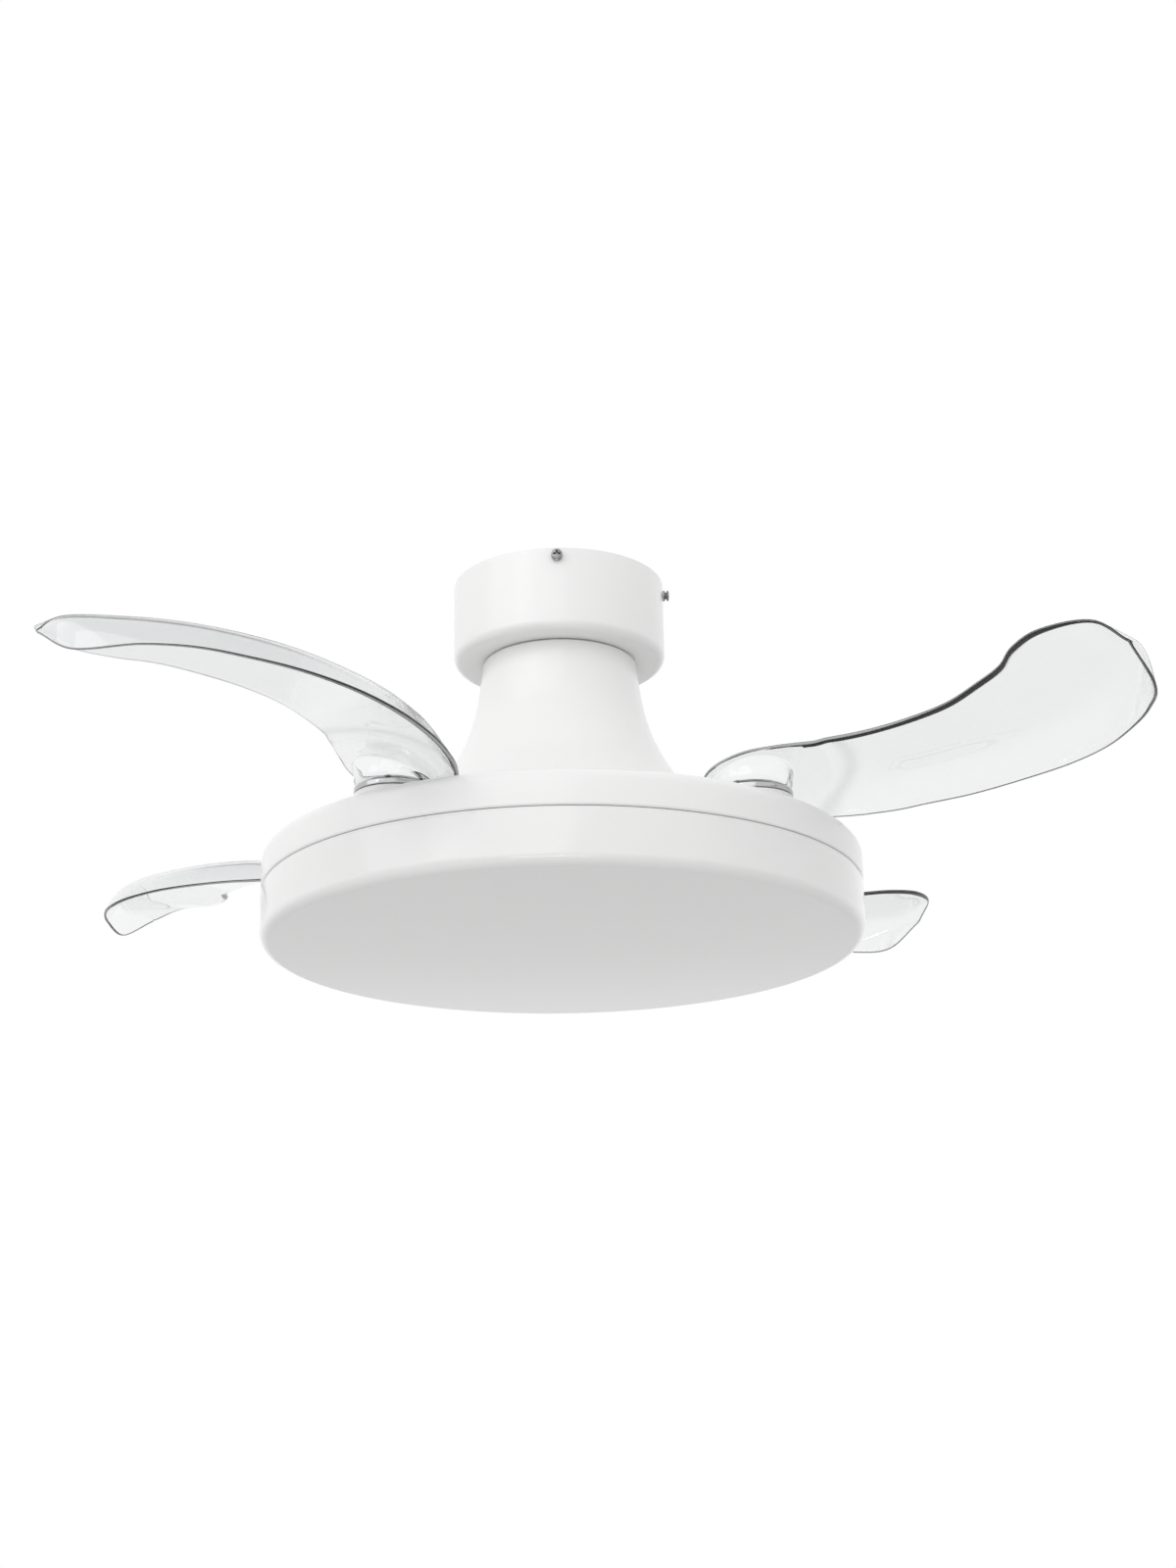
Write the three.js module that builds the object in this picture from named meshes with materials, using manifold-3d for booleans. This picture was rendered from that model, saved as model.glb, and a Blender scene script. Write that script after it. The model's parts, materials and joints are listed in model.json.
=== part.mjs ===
// A ceiling fan whose four clear blades fold in over the lamp housing when it stops.
//
// Millimetres, +Z up. The origin is the centre of the bracket's top face, on the ceiling, and the fan's
// axis is the Z axis. Azimuths are degrees counter-clockwise from +X, seen from above.
// The blades are drawn swung out, as they are when the fan runs.

import * as THREE from "three";
import { mergeVertices } from "three/addons/utils/BufferGeometryUtils.js";
import Module from "manifold-3d";

const wasm = await Module();
wasm.setup();

// ---------------------------------------------------------------------------------------------------
// Sizes
// ---------------------------------------------------------------------------------------------------

// Clearances
const seat = 0.3; // between two pieces that rest on each other
const runningGap = 3; // between a still cover and a turning one
const screwClearance = 0.5; // round a screw's shank

// Heights below the ceiling
const canopyHeight = 71.5;
const trayDrop = 246; // top face of the turning tray
const trayDepth = 30.7;
const seamWidth = 2.6; // the dark gap between the tray and the diffuser
const diffuserDepth = 42.7;

// Ceiling bracket and canopy
const bracketThickness = 2.5;
const bracketTabWidth = 16;
const bracketTabLength = 14;
const bracketArm = 12; // how far each tab's arm reaches in over the plate
const bracketStep = 4; // how far the tabs stand out from the plate
const ceilingSlotSpacing = 90;
const ceilingSlotRadius = 2.6;
const ceilingSlotLength = 14;
const cableHoleRadius = 8;
const cableHolePlace = [-34, 50];
const canopyRadius = 90.5;
const canopyWall = 1.2;
const canopyCorner = 7;
const canopyHoleRadius = 24;
const ceilingGap = 0.5;
const canopyScrewAzimuths = { front: -90, right: 0, back: 90 };
const canopyScrewDrop = 8;
const canopyScrewHeadRadius = 4.2;
const canopyScrewHeadHeight = 5.3;
const canopyScrewRadius = 2;
const canopyScrewEnd = 4; // how far it stands through the bracket's tab

// Shaft and hanger
const shaftRadius = 10;
const shaftBore = 5;
const shaftShoulder = 12.6;
const shaftShoulderHeight = 1.4;
const yokeDrop = 37; // top face of the yoke's cross plate
const yokeThickness = 3;
const yokeWidth = 34;
const yokeSpan = 76;
const yokeBend = 4;
const yokeFoot = 16;
const shaftNutHeight = 10;
const shaftNutRadius = 17;
const shaftPinRadius = 2;
const shaftPinOverhang = 5;
const shaftTopAboveNut = 9;
const terminalSize = [34, 16, 13];
const terminalWays = 3;
const terminalWell = 3.2;
const terminalPlace = [34, -52];
const receiverSize = [104, 34, 24];
const receiverOffset = 50;

// Neck cover
const neckTopRadius = 61;
const neckShoulder = 5.4;
const neckWall = 1.2;
const neckGap = 0.6;
const neckCollarRadius = 21;
const neckCollarHeight = 12;
const neckCollarScrew = 2.5; // radius of its set screw's hole
const neckFlare = [
  // radius, and how far down the neck
  [68.5, 0.132],
  [72.8, 0.275],
  [80.8, 0.419],
  [93.1, 0.563],
  [109.8, 0.707],
  [127, 0.833],
];
const neckFootRadius = 146;

// Tray
const bodyRadius = 250;
const trayCorner = 10;
const traySheet = 1.2;
const trayLip = 2; // how far the lower edge curls in
const trayLedgeWidth = 4; // the ledge that the gear cover rests against
const trayLedgeHeight = 2.5;
const trayUnderBell = 4; // how far the tray reaches in under the motor's flange

// Motor
const bearingBore = shaftRadius + seat;
const bearingRadius = 23.5;
const bearingWidth = 14;
const pocketWall = 3.5;
const statorRadius = 60;
const statorHeight = 22;
const statorPoles = 9;
const poleNeckWidth = 9;
const poleTipHeight = 7; // radial thickness of a pole's shoe
const statorHubRadius = 33;
const slotOpening = 4;
const coilThickness = 3.4;
const coilOverhang = 4.2;
const airGap = 0.8;
const magnetThickness = 4;
const bellWall = 2.6;
const bellPlate = 3;
const bellCorner = 8;
const flangeRadius = 92;
const motorScrewInset = 10;
const motorScrewRadius = 2.5;
const motorScrewHeadRadius = 4.5;
const motorScrewHeadHeight = 3.2;
const motorScrewCount = 4;
const spacerWall = 3.5;
const spacerClearance = 2;
const statorSleeve = 2; // keeps the core off the turning bearing

// Fold gear
const gearModule = 3.5;
const spindleInset = 50.5; // from the tray's edge; the gears' teeth round it to a whole number
const pinionTeeth = 14;
const gearWidth = 8;
const gearBacklash = 0.7;
const ringAddendum = 0.8; // in modules: stub teeth, so that they clear the small pinions' roots
const pinionAddendum = 0.9;
const gearDedendum = 1.15;
const pressureAngle = 20;
const ringRimWidth = 12;
const ringSpokes = 8;
const meshTeeth = 2; // teeth kept either side of the pinion at both ends of the fold
const ringSpokeWidth = 14;
const ringHubWidth = 8;
const guideClearance = 8; // from the motor's flange to the tray's rib that the ring turns on
const guideWall = 3.4;
const coverThickness = 0.8;
const spindleRadius = 6;
const spindleRunning = 0.3;
const bushWall = 2.4;
const bushFlange = 1.5;
const bossRadius = 15;
const bossHeight = 9;
const springWire = 1.6;
const springTurns = 2.5;
const springPitch = 2.3;
const springSteps = 8; // a turn
const springClearance = 1.2;
const clipThickness = 1.2;
const clipRadius = 9.5;
const clipMouth = 30; // half of its opening
const clipGroove = 1.4; // depth of the groove in the spindle
const spindleTail = 2;

// Blades
const bladeCount = 4;
const foldAngle = 140;
const firstBladeAzimuth = -40;
const hubStepHeight = 9.7; // the tray is pressed up under each hub, so that it clears the tray's edge
const hubStepInset = 1; // from the hub's rim
const hubStepDraft = 1.5; // how much wider it is at its foot
const hubRadius = 33;
const hubHeight = 4.6;
const cupFloorRadius = 31.4;
const cupRimRadius = 38;
const cupWall = 2.6;
const cupCorner = 3;
const cupRise = 30; // tall enough to pass the blade's sheet everywhere
const bladeSheet = 3;
const cupScrewCount = 3;
const cupScrewCircle = 20;
const cupScrewFirst = 30;
const cupScrewRadius = 1.5;
const cupScrewHeadRadius = 2.8;
const cupScrewHeadHeight = 1.8;
const lipSharpness = 9; // how late across the blade its outer edge curls down
const lipShare = 0.75; // share of the blade's fall that the curled edge takes
const lipFrom = 0.14; // along the blade, where the curl begins
const lipFull = 0.43; // and where it is whole
const creaseRadius = 68; // round the spindle, where the root's flat steps up to the blade
const creaseWidth = 11;
const creaseStep = 1.5;
const bladeStations = [
  // Edge points in the blade's own frame, from root to tip. The spindle is at 0, 0 and +X points away
  // from the fan's axis. Heights are above the tray.
  // hollow edge x, y, height; bowed edge x, y, height
  [-39, -4, 23, -48, 0, 28],
  [-30, -25, 26, -48, 16, 22],
  [-11, -38, 31, -36, 38, 17],
  [15, -35, 38, -10, 60, 14],
  [41, -20, 42, 23, 87, 12],
  [72, -1, 44, 62, 108, 13],
  [110, 11, 48, 104, 121, 15],
  [153, 15, 50, 150, 127, 17],
  [197, 5, 54, 195, 128, 20],
  [237, -12, 59, 233, 118, 22],
  [258, -31, 61, 271, 102, 26],
  [278, -44, 63, 306, 77, 28],
  [305, -44, 65, 333, 44, 27],
  [331, -44, 62, 345, 10, 27],
  [345, -27, 50, 352, -7, 37],
];

// Lamp
const panSheet = 0.8;
const panDrop = 1.7; // below the diffuser's edge
const panCorner = 4;
const panRim = 14;
const lampNutRadius = 16;
const lampNutHeight = 8;
const shaftTail = 3;
const boardInner = 106;
const boardOuter = 196;
const boardThickness = 1.6;
const ledRings = [
  // radius, count
  [128, 5],
  [172, 9],
];
const ledSize = [5, 5, 1];
const driverSize = [120, 46, 22];
const driverOffset = 55;
const diffuserWall = 2.5;
const diffuserCorner = 9;
const diffuserLedgeDrop = 9;
const diffuserLedgeHeight = 2;
const diffuserLedgeWidth = 3;
const clipNoseHeight = 2;
const clipNoseWidth = 26;
const clipLeafThickness = 1;
const diffuserClipClearance = 1; // the leaf is bent
const diffuserClipAzimuths = { a: 90, b: 210, c: 330 };

// Facets of the round pieces
const largeFacets = 30;
const neckFacets = 24;
const canopyFacets = 24;
const motorFacets = 16;
const mediumFacets = 16;
const innerFacets = 24;
const smallFacets = 12;
const canopyScrewFacets = 8;
const screwFacets = 6;
const flareSteps = 4; // down the neck
const alongSteps = 16; // along a blade
const acrossSteps = 4; // across a blade
const columnCrowding = 1.5; // how much they crowd towards the bowed edge

// ---------------------------------------------------------------------------------------------------
// Levels, worked out from the sizes above
// ---------------------------------------------------------------------------------------------------

const canopyFloor = -canopyHeight;
const neckTop = canopyFloor - neckGap;
const trayTop = -trayDrop;
const trayUnder = trayTop - traySheet;
const trayFoot = trayTop - trayDepth;
const diffuserTop = trayFoot - seamWidth;
const diffuserFloor = diffuserTop - diffuserDepth;

// Motor, from the tray up
const flangeUnder = trayTop + seat;
const endPlateTop = trayUnder - seat;
const lowerBearingFoot = endPlateTop + seat;
const coreFoot = lowerBearingFoot + bearingWidth + seat + statorSleeve;
const coreTop = coreFoot + statorHeight;
const shoulderTop = coreTop + seat + shaftShoulderHeight;
const upperBearingFoot = shoulderTop + seat;
const bellUnder = upperBearingFoot + bearingWidth + seat;
const bellTop = bellUnder + bellPlate;

// Fold gear, from the tray down
const bossFoot = trayUnder - bossHeight;
const bushFoot = bossFoot - seat - bushFlange;
const gearTop = bushFoot - seat;
const gearFoot = gearTop - gearWidth;
const clipTop = gearFoot - seat;
const clipFoot = clipTop - clipThickness;
const coverTop = gearFoot - seat;
const spindleFoot = clipFoot - spindleTail;

// Lamp
const panTop = diffuserTop - panDrop;
const panUnder = panTop - panSheet;

// Hanger
const nutFoot = -yokeDrop + seat;
const nutTop = nutFoot + shaftNutHeight;
const shaftTop = nutTop + shaftTopAboveNut;
const pinLevel = nutTop + shaftTopAboveNut / 2;
const shaftFoot = panUnder - seat - lampNutHeight - shaftTail;

// Radii that follow from others
const flatFactor = (facets) => Math.cos(Math.PI / facets); // a flat's distance over its corners'
const magnetInner = (statorRadius + airGap) / flatFactor(motorFacets);
const magnetOuter = magnetInner + magnetThickness;
const bellInner = magnetOuter + seat;
const bellOuter = bellInner + bellWall;
const pocketInner = bearingRadius + seat;
const guideRadius = flangeRadius + guideClearance + guideWall;
const motorScrewCircle = flangeRadius - motorScrewInset;
const ringTeeth = Math.round((2 * (bodyRadius - spindleInset)) / gearModule) - pinionTeeth;
const ringPitchRadius = (gearModule * ringTeeth) / 2;
const pinionPitchRadius = (gearModule * pinionTeeth) / 2;
const spindleCircle = ringPitchRadius + pinionPitchRadius;
const spacerOuter = shaftRadius + seat + spacerWall;
const trayBore = bellOuter - trayUnderBell;

// ---------------------------------------------------------------------------------------------------
// Shapes
// ---------------------------------------------------------------------------------------------------

const radians = THREE.MathUtils.degToRad;
const mix = THREE.MathUtils.lerp;

// A geometry as a closed solid that can be cut and joined.
function solidOf(geometry) {
  const bare = geometry.clone();
  bare.deleteAttribute("normal");
  bare.deleteAttribute("uv");
  const merged = mergeVertices(bare, 1e-4);
  const index = merged.index.array;
  const kept = [];
  for (let i = 0; i < index.length; i += 3) {
    const [a, b, c] = index.slice(i, i + 3);
    if (a !== b && b !== c && c !== a) kept.push(a, b, c);
  }
  return new wasm.Manifold(
    new wasm.Mesh({
      numProp: 3,
      vertProperties: merged.attributes.position.array,
      triVerts: new Uint32Array(kept),
    }),
  );
}

// A solid as a geometry with flat facets.
function geometryOf(solid) {
  const mesh = solid.getMesh();
  const geometry = new THREE.BufferGeometry();
  geometry.setAttribute("position", new THREE.BufferAttribute(mesh.vertProperties, 3));
  geometry.setIndex(new THREE.BufferAttribute(mesh.triVerts, 1));
  const flat = geometry.toNonIndexed();
  flat.computeVertexNormals();
  return flat;
}

function join(...solids) {
  return solids.reduce((whole, solid) => whole.add(solid));
}

function cut(whole, ...tools) {
  return tools.reduce((rest, tool) => rest.subtract(tool), whole);
}

// Twice the signed area of a closed outline: above zero when it runs counter-clockwise.
function turnOf(outline) {
  return outline.reduce((sum, [x, y], i) => {
    const [nextX, nextY] = outline[(i + 1) % outline.length];
    return sum + x * nextY - nextX * y;
  }, 0);
}

// A solid turned round the Z axis from a closed outline of [radius, z] points.
function turned(outline, facets) {
  const ordered = turnOf(outline) > 0 ? outline : [...outline].reverse();
  const points = [...ordered, ordered[0]].map(([radius, z]) => new THREE.Vector2(radius, z));
  const lathe = new THREE.LatheGeometry(points, facets);
  lathe.rotateX(Math.PI / 2);
  return solidOf(lathe);
}

// A plain ring or disc between two radii and two levels.
function ring(inner, outer, foot, top, facets) {
  const outline = [
    [inner, foot],
    [outer, foot],
    [outer, top],
    [inner, top],
  ];
  return turned(outline, facets);
}

// Points of an arc, angles in degrees.
function arc(x, y, radius, from, to, steps) {
  return Array.from({ length: steps + 1 }, (_, i) => {
    const angle = radians(from + ((to - from) * i) / steps);
    return [x + radius * Math.cos(angle), y + radius * Math.sin(angle)];
  });
}

function circle(radius, facets, x = 0, y = 0) {
  return arc(x, y, radius, 0, 360 - 360 / facets, facets - 1);
}

// The closed outline of a sheet: a skin line, and the same line moved to its right by the sheet's wall.
function sheet(skin, wall) {
  const rightOf = ([x, y], [nextX, nextY]) => {
    const length = Math.hypot(nextX - x, nextY - y);
    return [(nextY - y) / length, (x - nextX) / length];
  };
  const inner = skin.map((point, i) => {
    const before = i > 0 ? rightOf(skin[i - 1], point) : rightOf(point, skin[i + 1]);
    const after = i < skin.length - 1 ? rightOf(point, skin[i + 1]) : before;
    const mitre = 1 + before[0] * after[0] + before[1] * after[1];
    return [
      point[0] + (wall * (before[0] + after[0])) / mitre,
      point[1] + (wall * (before[1] + after[1])) / mitre,
    ];
  });
  return [...skin, ...inner.reverse()];
}

// A straight prism from an outline in the XY plane, with holes, between two levels.
function prism(outline, foot, top, holes = []) {
  const toVector = ([x, y]) => new THREE.Vector2(x, y);
  const shape = new THREE.Shape(outline.map(toVector));
  shape.holes = holes.map((hole) => new THREE.Path(hole.map(toVector)));
  const block = new THREE.ExtrudeGeometry(shape, { depth: top - foot, bevelEnabled: false });
  block.translate(0, 0, foot);
  return solidOf(block);
}

function box(width, depth, foot, top, x = 0, y = 0) {
  const block = new THREE.BoxGeometry(width, depth, top - foot);
  block.translate(x, y, (foot + top) / 2);
  return solidOf(block);
}

// The outline of a rectangle with round corners.
function roundedRectangle(width, depth, corner, steps = 3) {
  const x = width / 2 - corner;
  const y = depth / 2 - corner;
  return [
    ...arc(x, -y, corner, -90, 0, steps),
    ...arc(x, y, corner, 0, 90, steps),
    ...arc(-x, y, corner, 90, 180, steps),
    ...arc(-x, -y, corner, 180, 270, steps),
  ];
}

function rod(radius, foot, top, facets, x = 0, y = 0) {
  return prism(circle(radius, facets, x, y), foot, top);
}

// A rod that runs outwards along an azimuth, from one radius to another, at a level.
function radialRod(radius, from, to, azimuth, z, facets) {
  return rod(radius, from, to, facets)
    .rotate([0, 90, 0])
    .rotate([0, 0, azimuth])
    .translate([0, 0, z]);
}

// A block bent along a circle round the Z axis.
function arcBlock(inner, outer, foot, top, azimuth, width) {
  const half = THREE.MathUtils.radToDeg(width / 2 / inner);
  const outline = [
    ...arc(0, 0, outer, azimuth - half, azimuth + half, 2),
    ...arc(0, 0, inner, azimuth + half, azimuth - half, 2),
  ];
  return prism(outline, foot, top);
}

// Azimuths of pieces set evenly round the axis.
function around(count, first = 0) {
  return Array.from({ length: count }, (_, i) => first + (360 * i) / count);
}

function at(radius, azimuth) {
  return [radius * Math.cos(radians(azimuth)), radius * Math.sin(radians(azimuth))];
}

// ---------------------------------------------------------------------------------------------------
// Hanger and canopy
// ---------------------------------------------------------------------------------------------------

// The canopy's inside is a facet's depth nearer than its corners, and a tab's flat face has two corners.
const canopyInside = (canopyRadius - canopyWall) * flatFactor(canopyFacets);
const tabOuter = Math.sqrt(canopyInside ** 2 - (bracketTabWidth / 2) ** 2) - seat;
const screwAzimuths = Object.values(canopyScrewAzimuths);

// The holes for the canopy's screws, through its side and the bracket's tabs.
function canopyScrewHoles() {
  const radius = canopyScrewRadius + screwClearance;
  const start = tabOuter - 2 * canopyScrewEnd;
  return screwAzimuths.map((azimuth) =>
    radialRod(radius, start, canopyRadius + canopyScrewEnd, azimuth, -canopyScrewDrop, screwFacets),
  );
}

function ceilingBracket() {
  const plateRadius = tabOuter - bracketThickness - bracketStep;
  const slot = (y) => {
    const half = ceilingSlotLength / 2 - ceilingSlotRadius;
    return [
      ...arc(half, y, ceilingSlotRadius, -90, 90, 3),
      ...arc(-half, y, ceilingSlotRadius, 90, 270, 3),
    ];
  };
  const cableHole = circle(cableHoleRadius, smallFacets, ...cableHolePlace);
  const plate = prism(
    circle(plateRadius, canopyFacets),
    -bracketThickness,
    0,
    [slot(ceilingSlotSpacing / 2), slot(-ceilingSlotSpacing / 2), cableHole],
  );
  const tabs = screwAzimuths.map((azimuth) => {
    const arm = box(bracketArm, bracketTabWidth, -bracketThickness, 0, tabOuter - bracketArm / 2);
    const leg = box(bracketThickness, bracketTabWidth, -bracketTabLength, 0, tabOuter - bracketThickness / 2);
    return join(arm, leg).rotate([0, 0, azimuth]);
  });
  return cut(join(plate, ...tabs), ...canopyScrewHoles());
}

function hangerYoke() {
  const half = yokeSpan / 2;
  const feet = -bracketThickness - seat;
  const skin = [
    [-half - yokeFoot, feet],
    ...arc(-half - yokeBend, feet - yokeBend, yokeBend, 90, 0, 3),
    ...arc(-half + yokeBend, -yokeDrop + yokeBend, yokeBend, 180, 270, 3),
    ...arc(half - yokeBend, -yokeDrop + yokeBend, yokeBend, 270, 360, 3),
    ...arc(half + yokeBend, feet - yokeBend, yokeBend, 180, 90, 3),
    [half + yokeFoot, feet],
  ];
  const strap = prism(sheet(skin, yokeThickness), -yokeWidth / 2, yokeWidth / 2).rotate([90, 0, 0]);
  const holeFoot = -yokeDrop - 2 * yokeThickness;
  const hole = rod(shaftRadius + screwClearance, holeFoot, -yokeDrop + yokeThickness, mediumFacets);
  return cut(strap, hole);
}

function hexNut(radius, foot, top) {
  const body = rod(radius, foot, top, 6);
  return cut(body, rod(shaftRadius + seat, foot - 1, top + 1, mediumFacets));
}

function canopy() {
  const skin = [
    [canopyRadius, -ceilingGap],
    ...arc(canopyRadius - canopyCorner, canopyFloor + canopyCorner, canopyCorner, 0, -90, 2),
    [canopyHoleRadius, canopyFloor],
  ];
  const shell = turned(sheet(skin, canopyWall), canopyFacets);
  return cut(shell, ...canopyScrewHoles());
}

// A screw with a tall waisted head, lying along +X and turned to its azimuth.
function canopyScrew(azimuth) {
  const headFoot = canopyRadius + seat;
  const headTop = headFoot + canopyScrewHeadHeight;
  const tip = tabOuter - bracketThickness - canopyScrewEnd;
  const outline = [
    [0, tip],
    [canopyScrewRadius, tip],
    [canopyScrewRadius, headFoot],
    [canopyScrewHeadRadius, headFoot],
    [canopyScrewHeadRadius, headFoot + canopyScrewHeadHeight * 0.3],
    [canopyScrewHeadRadius * 0.8, headFoot + canopyScrewHeadHeight * 0.45],
    [canopyScrewHeadRadius, headFoot + canopyScrewHeadHeight * 0.6],
    [canopyScrewHeadRadius * 0.7, headTop],
    [0, headTop],
  ];
  const lying = turned(outline, canopyScrewFacets).rotate([0, 90, 0]);
  return lying.rotate([0, 0, azimuth]).translate([0, 0, -canopyScrewDrop]);
}

function motorShaft() {
  const outline = [
    [shaftBore, shaftFoot],
    [shaftRadius, shaftFoot],
    [shaftRadius, shoulderTop - shaftShoulderHeight],
    [shaftShoulder, shoulderTop - shaftShoulderHeight],
    [shaftShoulder, shoulderTop],
    [shaftRadius, shoulderTop],
    [shaftRadius, shaftTop],
    [shaftBore, shaftTop],
  ];
  const tube = turned(outline, mediumFacets);
  const reach = shaftRadius + shaftPinOverhang;
  return cut(tube, radialRod(shaftPinRadius + seat, -reach, reach, 0, pinLevel, screwFacets));
}

function shaftPin() {
  const reach = shaftRadius + shaftPinOverhang;
  const head = radialRod(shaftPinRadius + 1.5, reach, reach + 2, 0, pinLevel, screwFacets);
  return join(radialRod(shaftPinRadius, -reach, reach + 1, 0, pinLevel, screwFacets), head);
}

function terminalBlock() {
  const [width, depth, height] = terminalSize;
  const top = -bracketThickness - seat;
  const [x, y] = terminalPlace;
  const body = box(width, depth, top - height, top, x, y);
  const pitch = width / terminalWays;
  const firstWell = x - ((terminalWays - 1) / 2) * pitch;
  const wells = Array.from({ length: terminalWays }, (_, i) =>
    rod(terminalWell, top - height - 1, top - height / 2, smallFacets, firstWell + i * pitch, y),
  );
  return cut(body, ...wells);
}

function receiverModule() {
  const [width, depth, height] = receiverSize;
  const foot = canopyFloor + canopyWall + seat;
  return prism(roundedRectangle(width, depth, 4), foot, foot + height).translate([0, receiverOffset, 0]);
}

// ---------------------------------------------------------------------------------------------------
// Neck
// ---------------------------------------------------------------------------------------------------

function neckCover() {
  const flare = new THREE.SplineCurve([
    new THREE.Vector2(neckTopRadius + neckShoulder, neckTop - neckShoulder),
    ...neckFlare.map(([radius, share]) => new THREE.Vector2(radius, mix(neckTop, trayTop, share))),
    new THREE.Vector2(neckFootRadius, trayTop + runningGap),
  ]);
  // The skin runs from the foot up to the shaft's hole, so the wall lies inside it.
  const skin = [
    ...arc(neckTopRadius, neckTop - neckShoulder, neckShoulder, 90, 0, 1).slice(0, -1),
    ...flare.getPoints(flareSteps).map(({ x, y }) => [x, y]),
  ];
  const top = [[shaftRadius + spacerClearance, neckTop], ...skin];
  return turned(sheet(top, neckWall), neckFacets);
}

function neckCollar() {
  const top = neckTop - neckWall - seat;
  const body = ring(shaftRadius + seat, neckCollarRadius, top - neckCollarHeight, top, mediumFacets);
  const middle = top - neckCollarHeight / 2;
  const setScrewHole = radialRod(neckCollarScrew, 0, neckCollarRadius + 2, 180, middle, screwFacets);
  return cut(body, setScrewHole);
}

// ---------------------------------------------------------------------------------------------------
// Motor
// ---------------------------------------------------------------------------------------------------

function bearing(foot) {
  const top = foot + bearingWidth;
  const shield = 0.8;
  const outline = [
    [bearingBore, foot],
    [bearingRadius, foot],
    [bearingRadius, top],
    [bearingRadius - 4, top],
    [bearingRadius - 4, top - shield],
    [bearingBore + 4, top - shield],
    [bearingBore + 4, top],
    [bearingBore, top],
  ];
  return turned(outline, mediumFacets);
}

// Half the angle that a straight width takes up at a radius.
function halfAngle(width, radius) {
  return THREE.MathUtils.radToDeg(Math.asin(width / 2 / radius));
}

function statorCore() {
  const shoeInner = statorRadius - poleTipHeight;
  const pitch = 360 / statorPoles;
  const shoeHalf = pitch / 2 - halfAngle(slotOpening, statorRadius);
  const outline = around(statorPoles).flatMap((azimuth) => [
    at(statorHubRadius, azimuth - halfAngle(poleNeckWidth, statorHubRadius)),
    at(shoeInner, azimuth - halfAngle(poleNeckWidth, shoeInner)),
    at(shoeInner + poleTipHeight / 2, azimuth - shoeHalf),
    ...arc(0, 0, statorRadius, azimuth - shoeHalf, azimuth + shoeHalf, 2),
    at(shoeInner + poleTipHeight / 2, azimuth + shoeHalf),
    at(shoeInner, azimuth + halfAngle(poleNeckWidth, shoeInner)),
    at(statorHubRadius, azimuth + halfAngle(poleNeckWidth, statorHubRadius)),
  ]);
  const bore = circle(bearingBore, mediumFacets);
  const core = prism(outline, coreFoot, coreTop, [bore]);
  const sleeve = ring(bearingBore, spacerOuter, coreFoot - statorSleeve, coreFoot + 1, mediumFacets);
  return join(core, sleeve);
}

// One coil a pole, joined by the ring of leads over them.
function statorWinding() {
  const inner = statorHubRadius + 1.5;
  const outer = statorRadius - poleTipHeight - 1;
  const neck = poleNeckWidth + 2 * seat;
  const coilFoot = coreFoot - coilOverhang;
  const coilTop = coreTop + coilOverhang;
  const coil = cut(
    box(outer - inner, neck + 2 * coilThickness, coilFoot, coilTop, (inner + outer) / 2),
    box(outer - inner + 2, neck, coreFoot - seat, coreTop + seat, (inner + outer) / 2),
  );
  const coils = around(statorPoles).map((azimuth) => coil.rotate([0, 0, azimuth]));
  const leads = ring(inner + 1, inner + 4, coreTop + 1, coreTop + coilOverhang + 1.2, mediumFacets);
  return join(leads, ...coils);
}

function magnetRing() {
  return ring(magnetInner, magnetOuter, coreFoot - 1.5, coreTop + 1.5, motorFacets);
}

const motorScrewAzimuths = around(motorScrewCount, firstBladeAzimuth + 180 / bladeCount);
const motorScrewPlaces = motorScrewAzimuths.map((azimuth) => at(motorScrewCircle, azimuth));

function motorScrewHoles() {
  const radius = motorScrewRadius + screwClearance;
  return motorScrewPlaces.map(([x, y]) =>
    rod(radius, endPlateTop - 2 * bellPlate, flangeUnder + 2 * bellPlate, screwFacets, x, y),
  );
}

function motorBell() {
  const flangeTop = flangeUnder + bellPlate;
  const skin = [
    [bearingBore + spacerClearance, bellTop],
    ...arc(bellOuter - bellCorner, bellTop - bellCorner, bellCorner, 90, 0, 1),
    [bellOuter, flangeTop],
    [flangeRadius, flangeTop],
    [flangeRadius, flangeUnder],
    [bellInner, flangeUnder],
    [bellInner, bellUnder - bellCorner + bellWall],
    ...arc(bellOuter - bellCorner, bellTop - bellCorner, bellCorner - bellWall, 0, 90, 1).slice(1),
    [bearingBore + spacerClearance, bellTop - bellWall],
  ];
  const pocketFoot = upperBearingFoot + 2;
  const pocket = ring(pocketInner, pocketInner + pocketWall, pocketFoot, bellTop - 1, mediumFacets);
  const pocketOuter = pocketInner + pocketWall;
  const seatPlate = ring(bearingBore + spacerClearance, pocketOuter, bellUnder, bellTop - 1, mediumFacets);
  return cut(join(turned(skin, motorFacets), pocket, seatPlate), ...motorScrewHoles());
}

function motorEndPlate() {
  const hole = spacerOuter + spacerClearance;
  const plate = ring(hole, flangeRadius, endPlateTop - bellPlate, endPlateTop, motorFacets);
  const pocketTop = lowerBearingFoot + bearingWidth - 2;
  const pocket = ring(pocketInner, pocketInner + pocketWall, endPlateTop - 1, pocketTop, mediumFacets);
  return cut(join(plate, pocket), ...motorScrewHoles());
}

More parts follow.
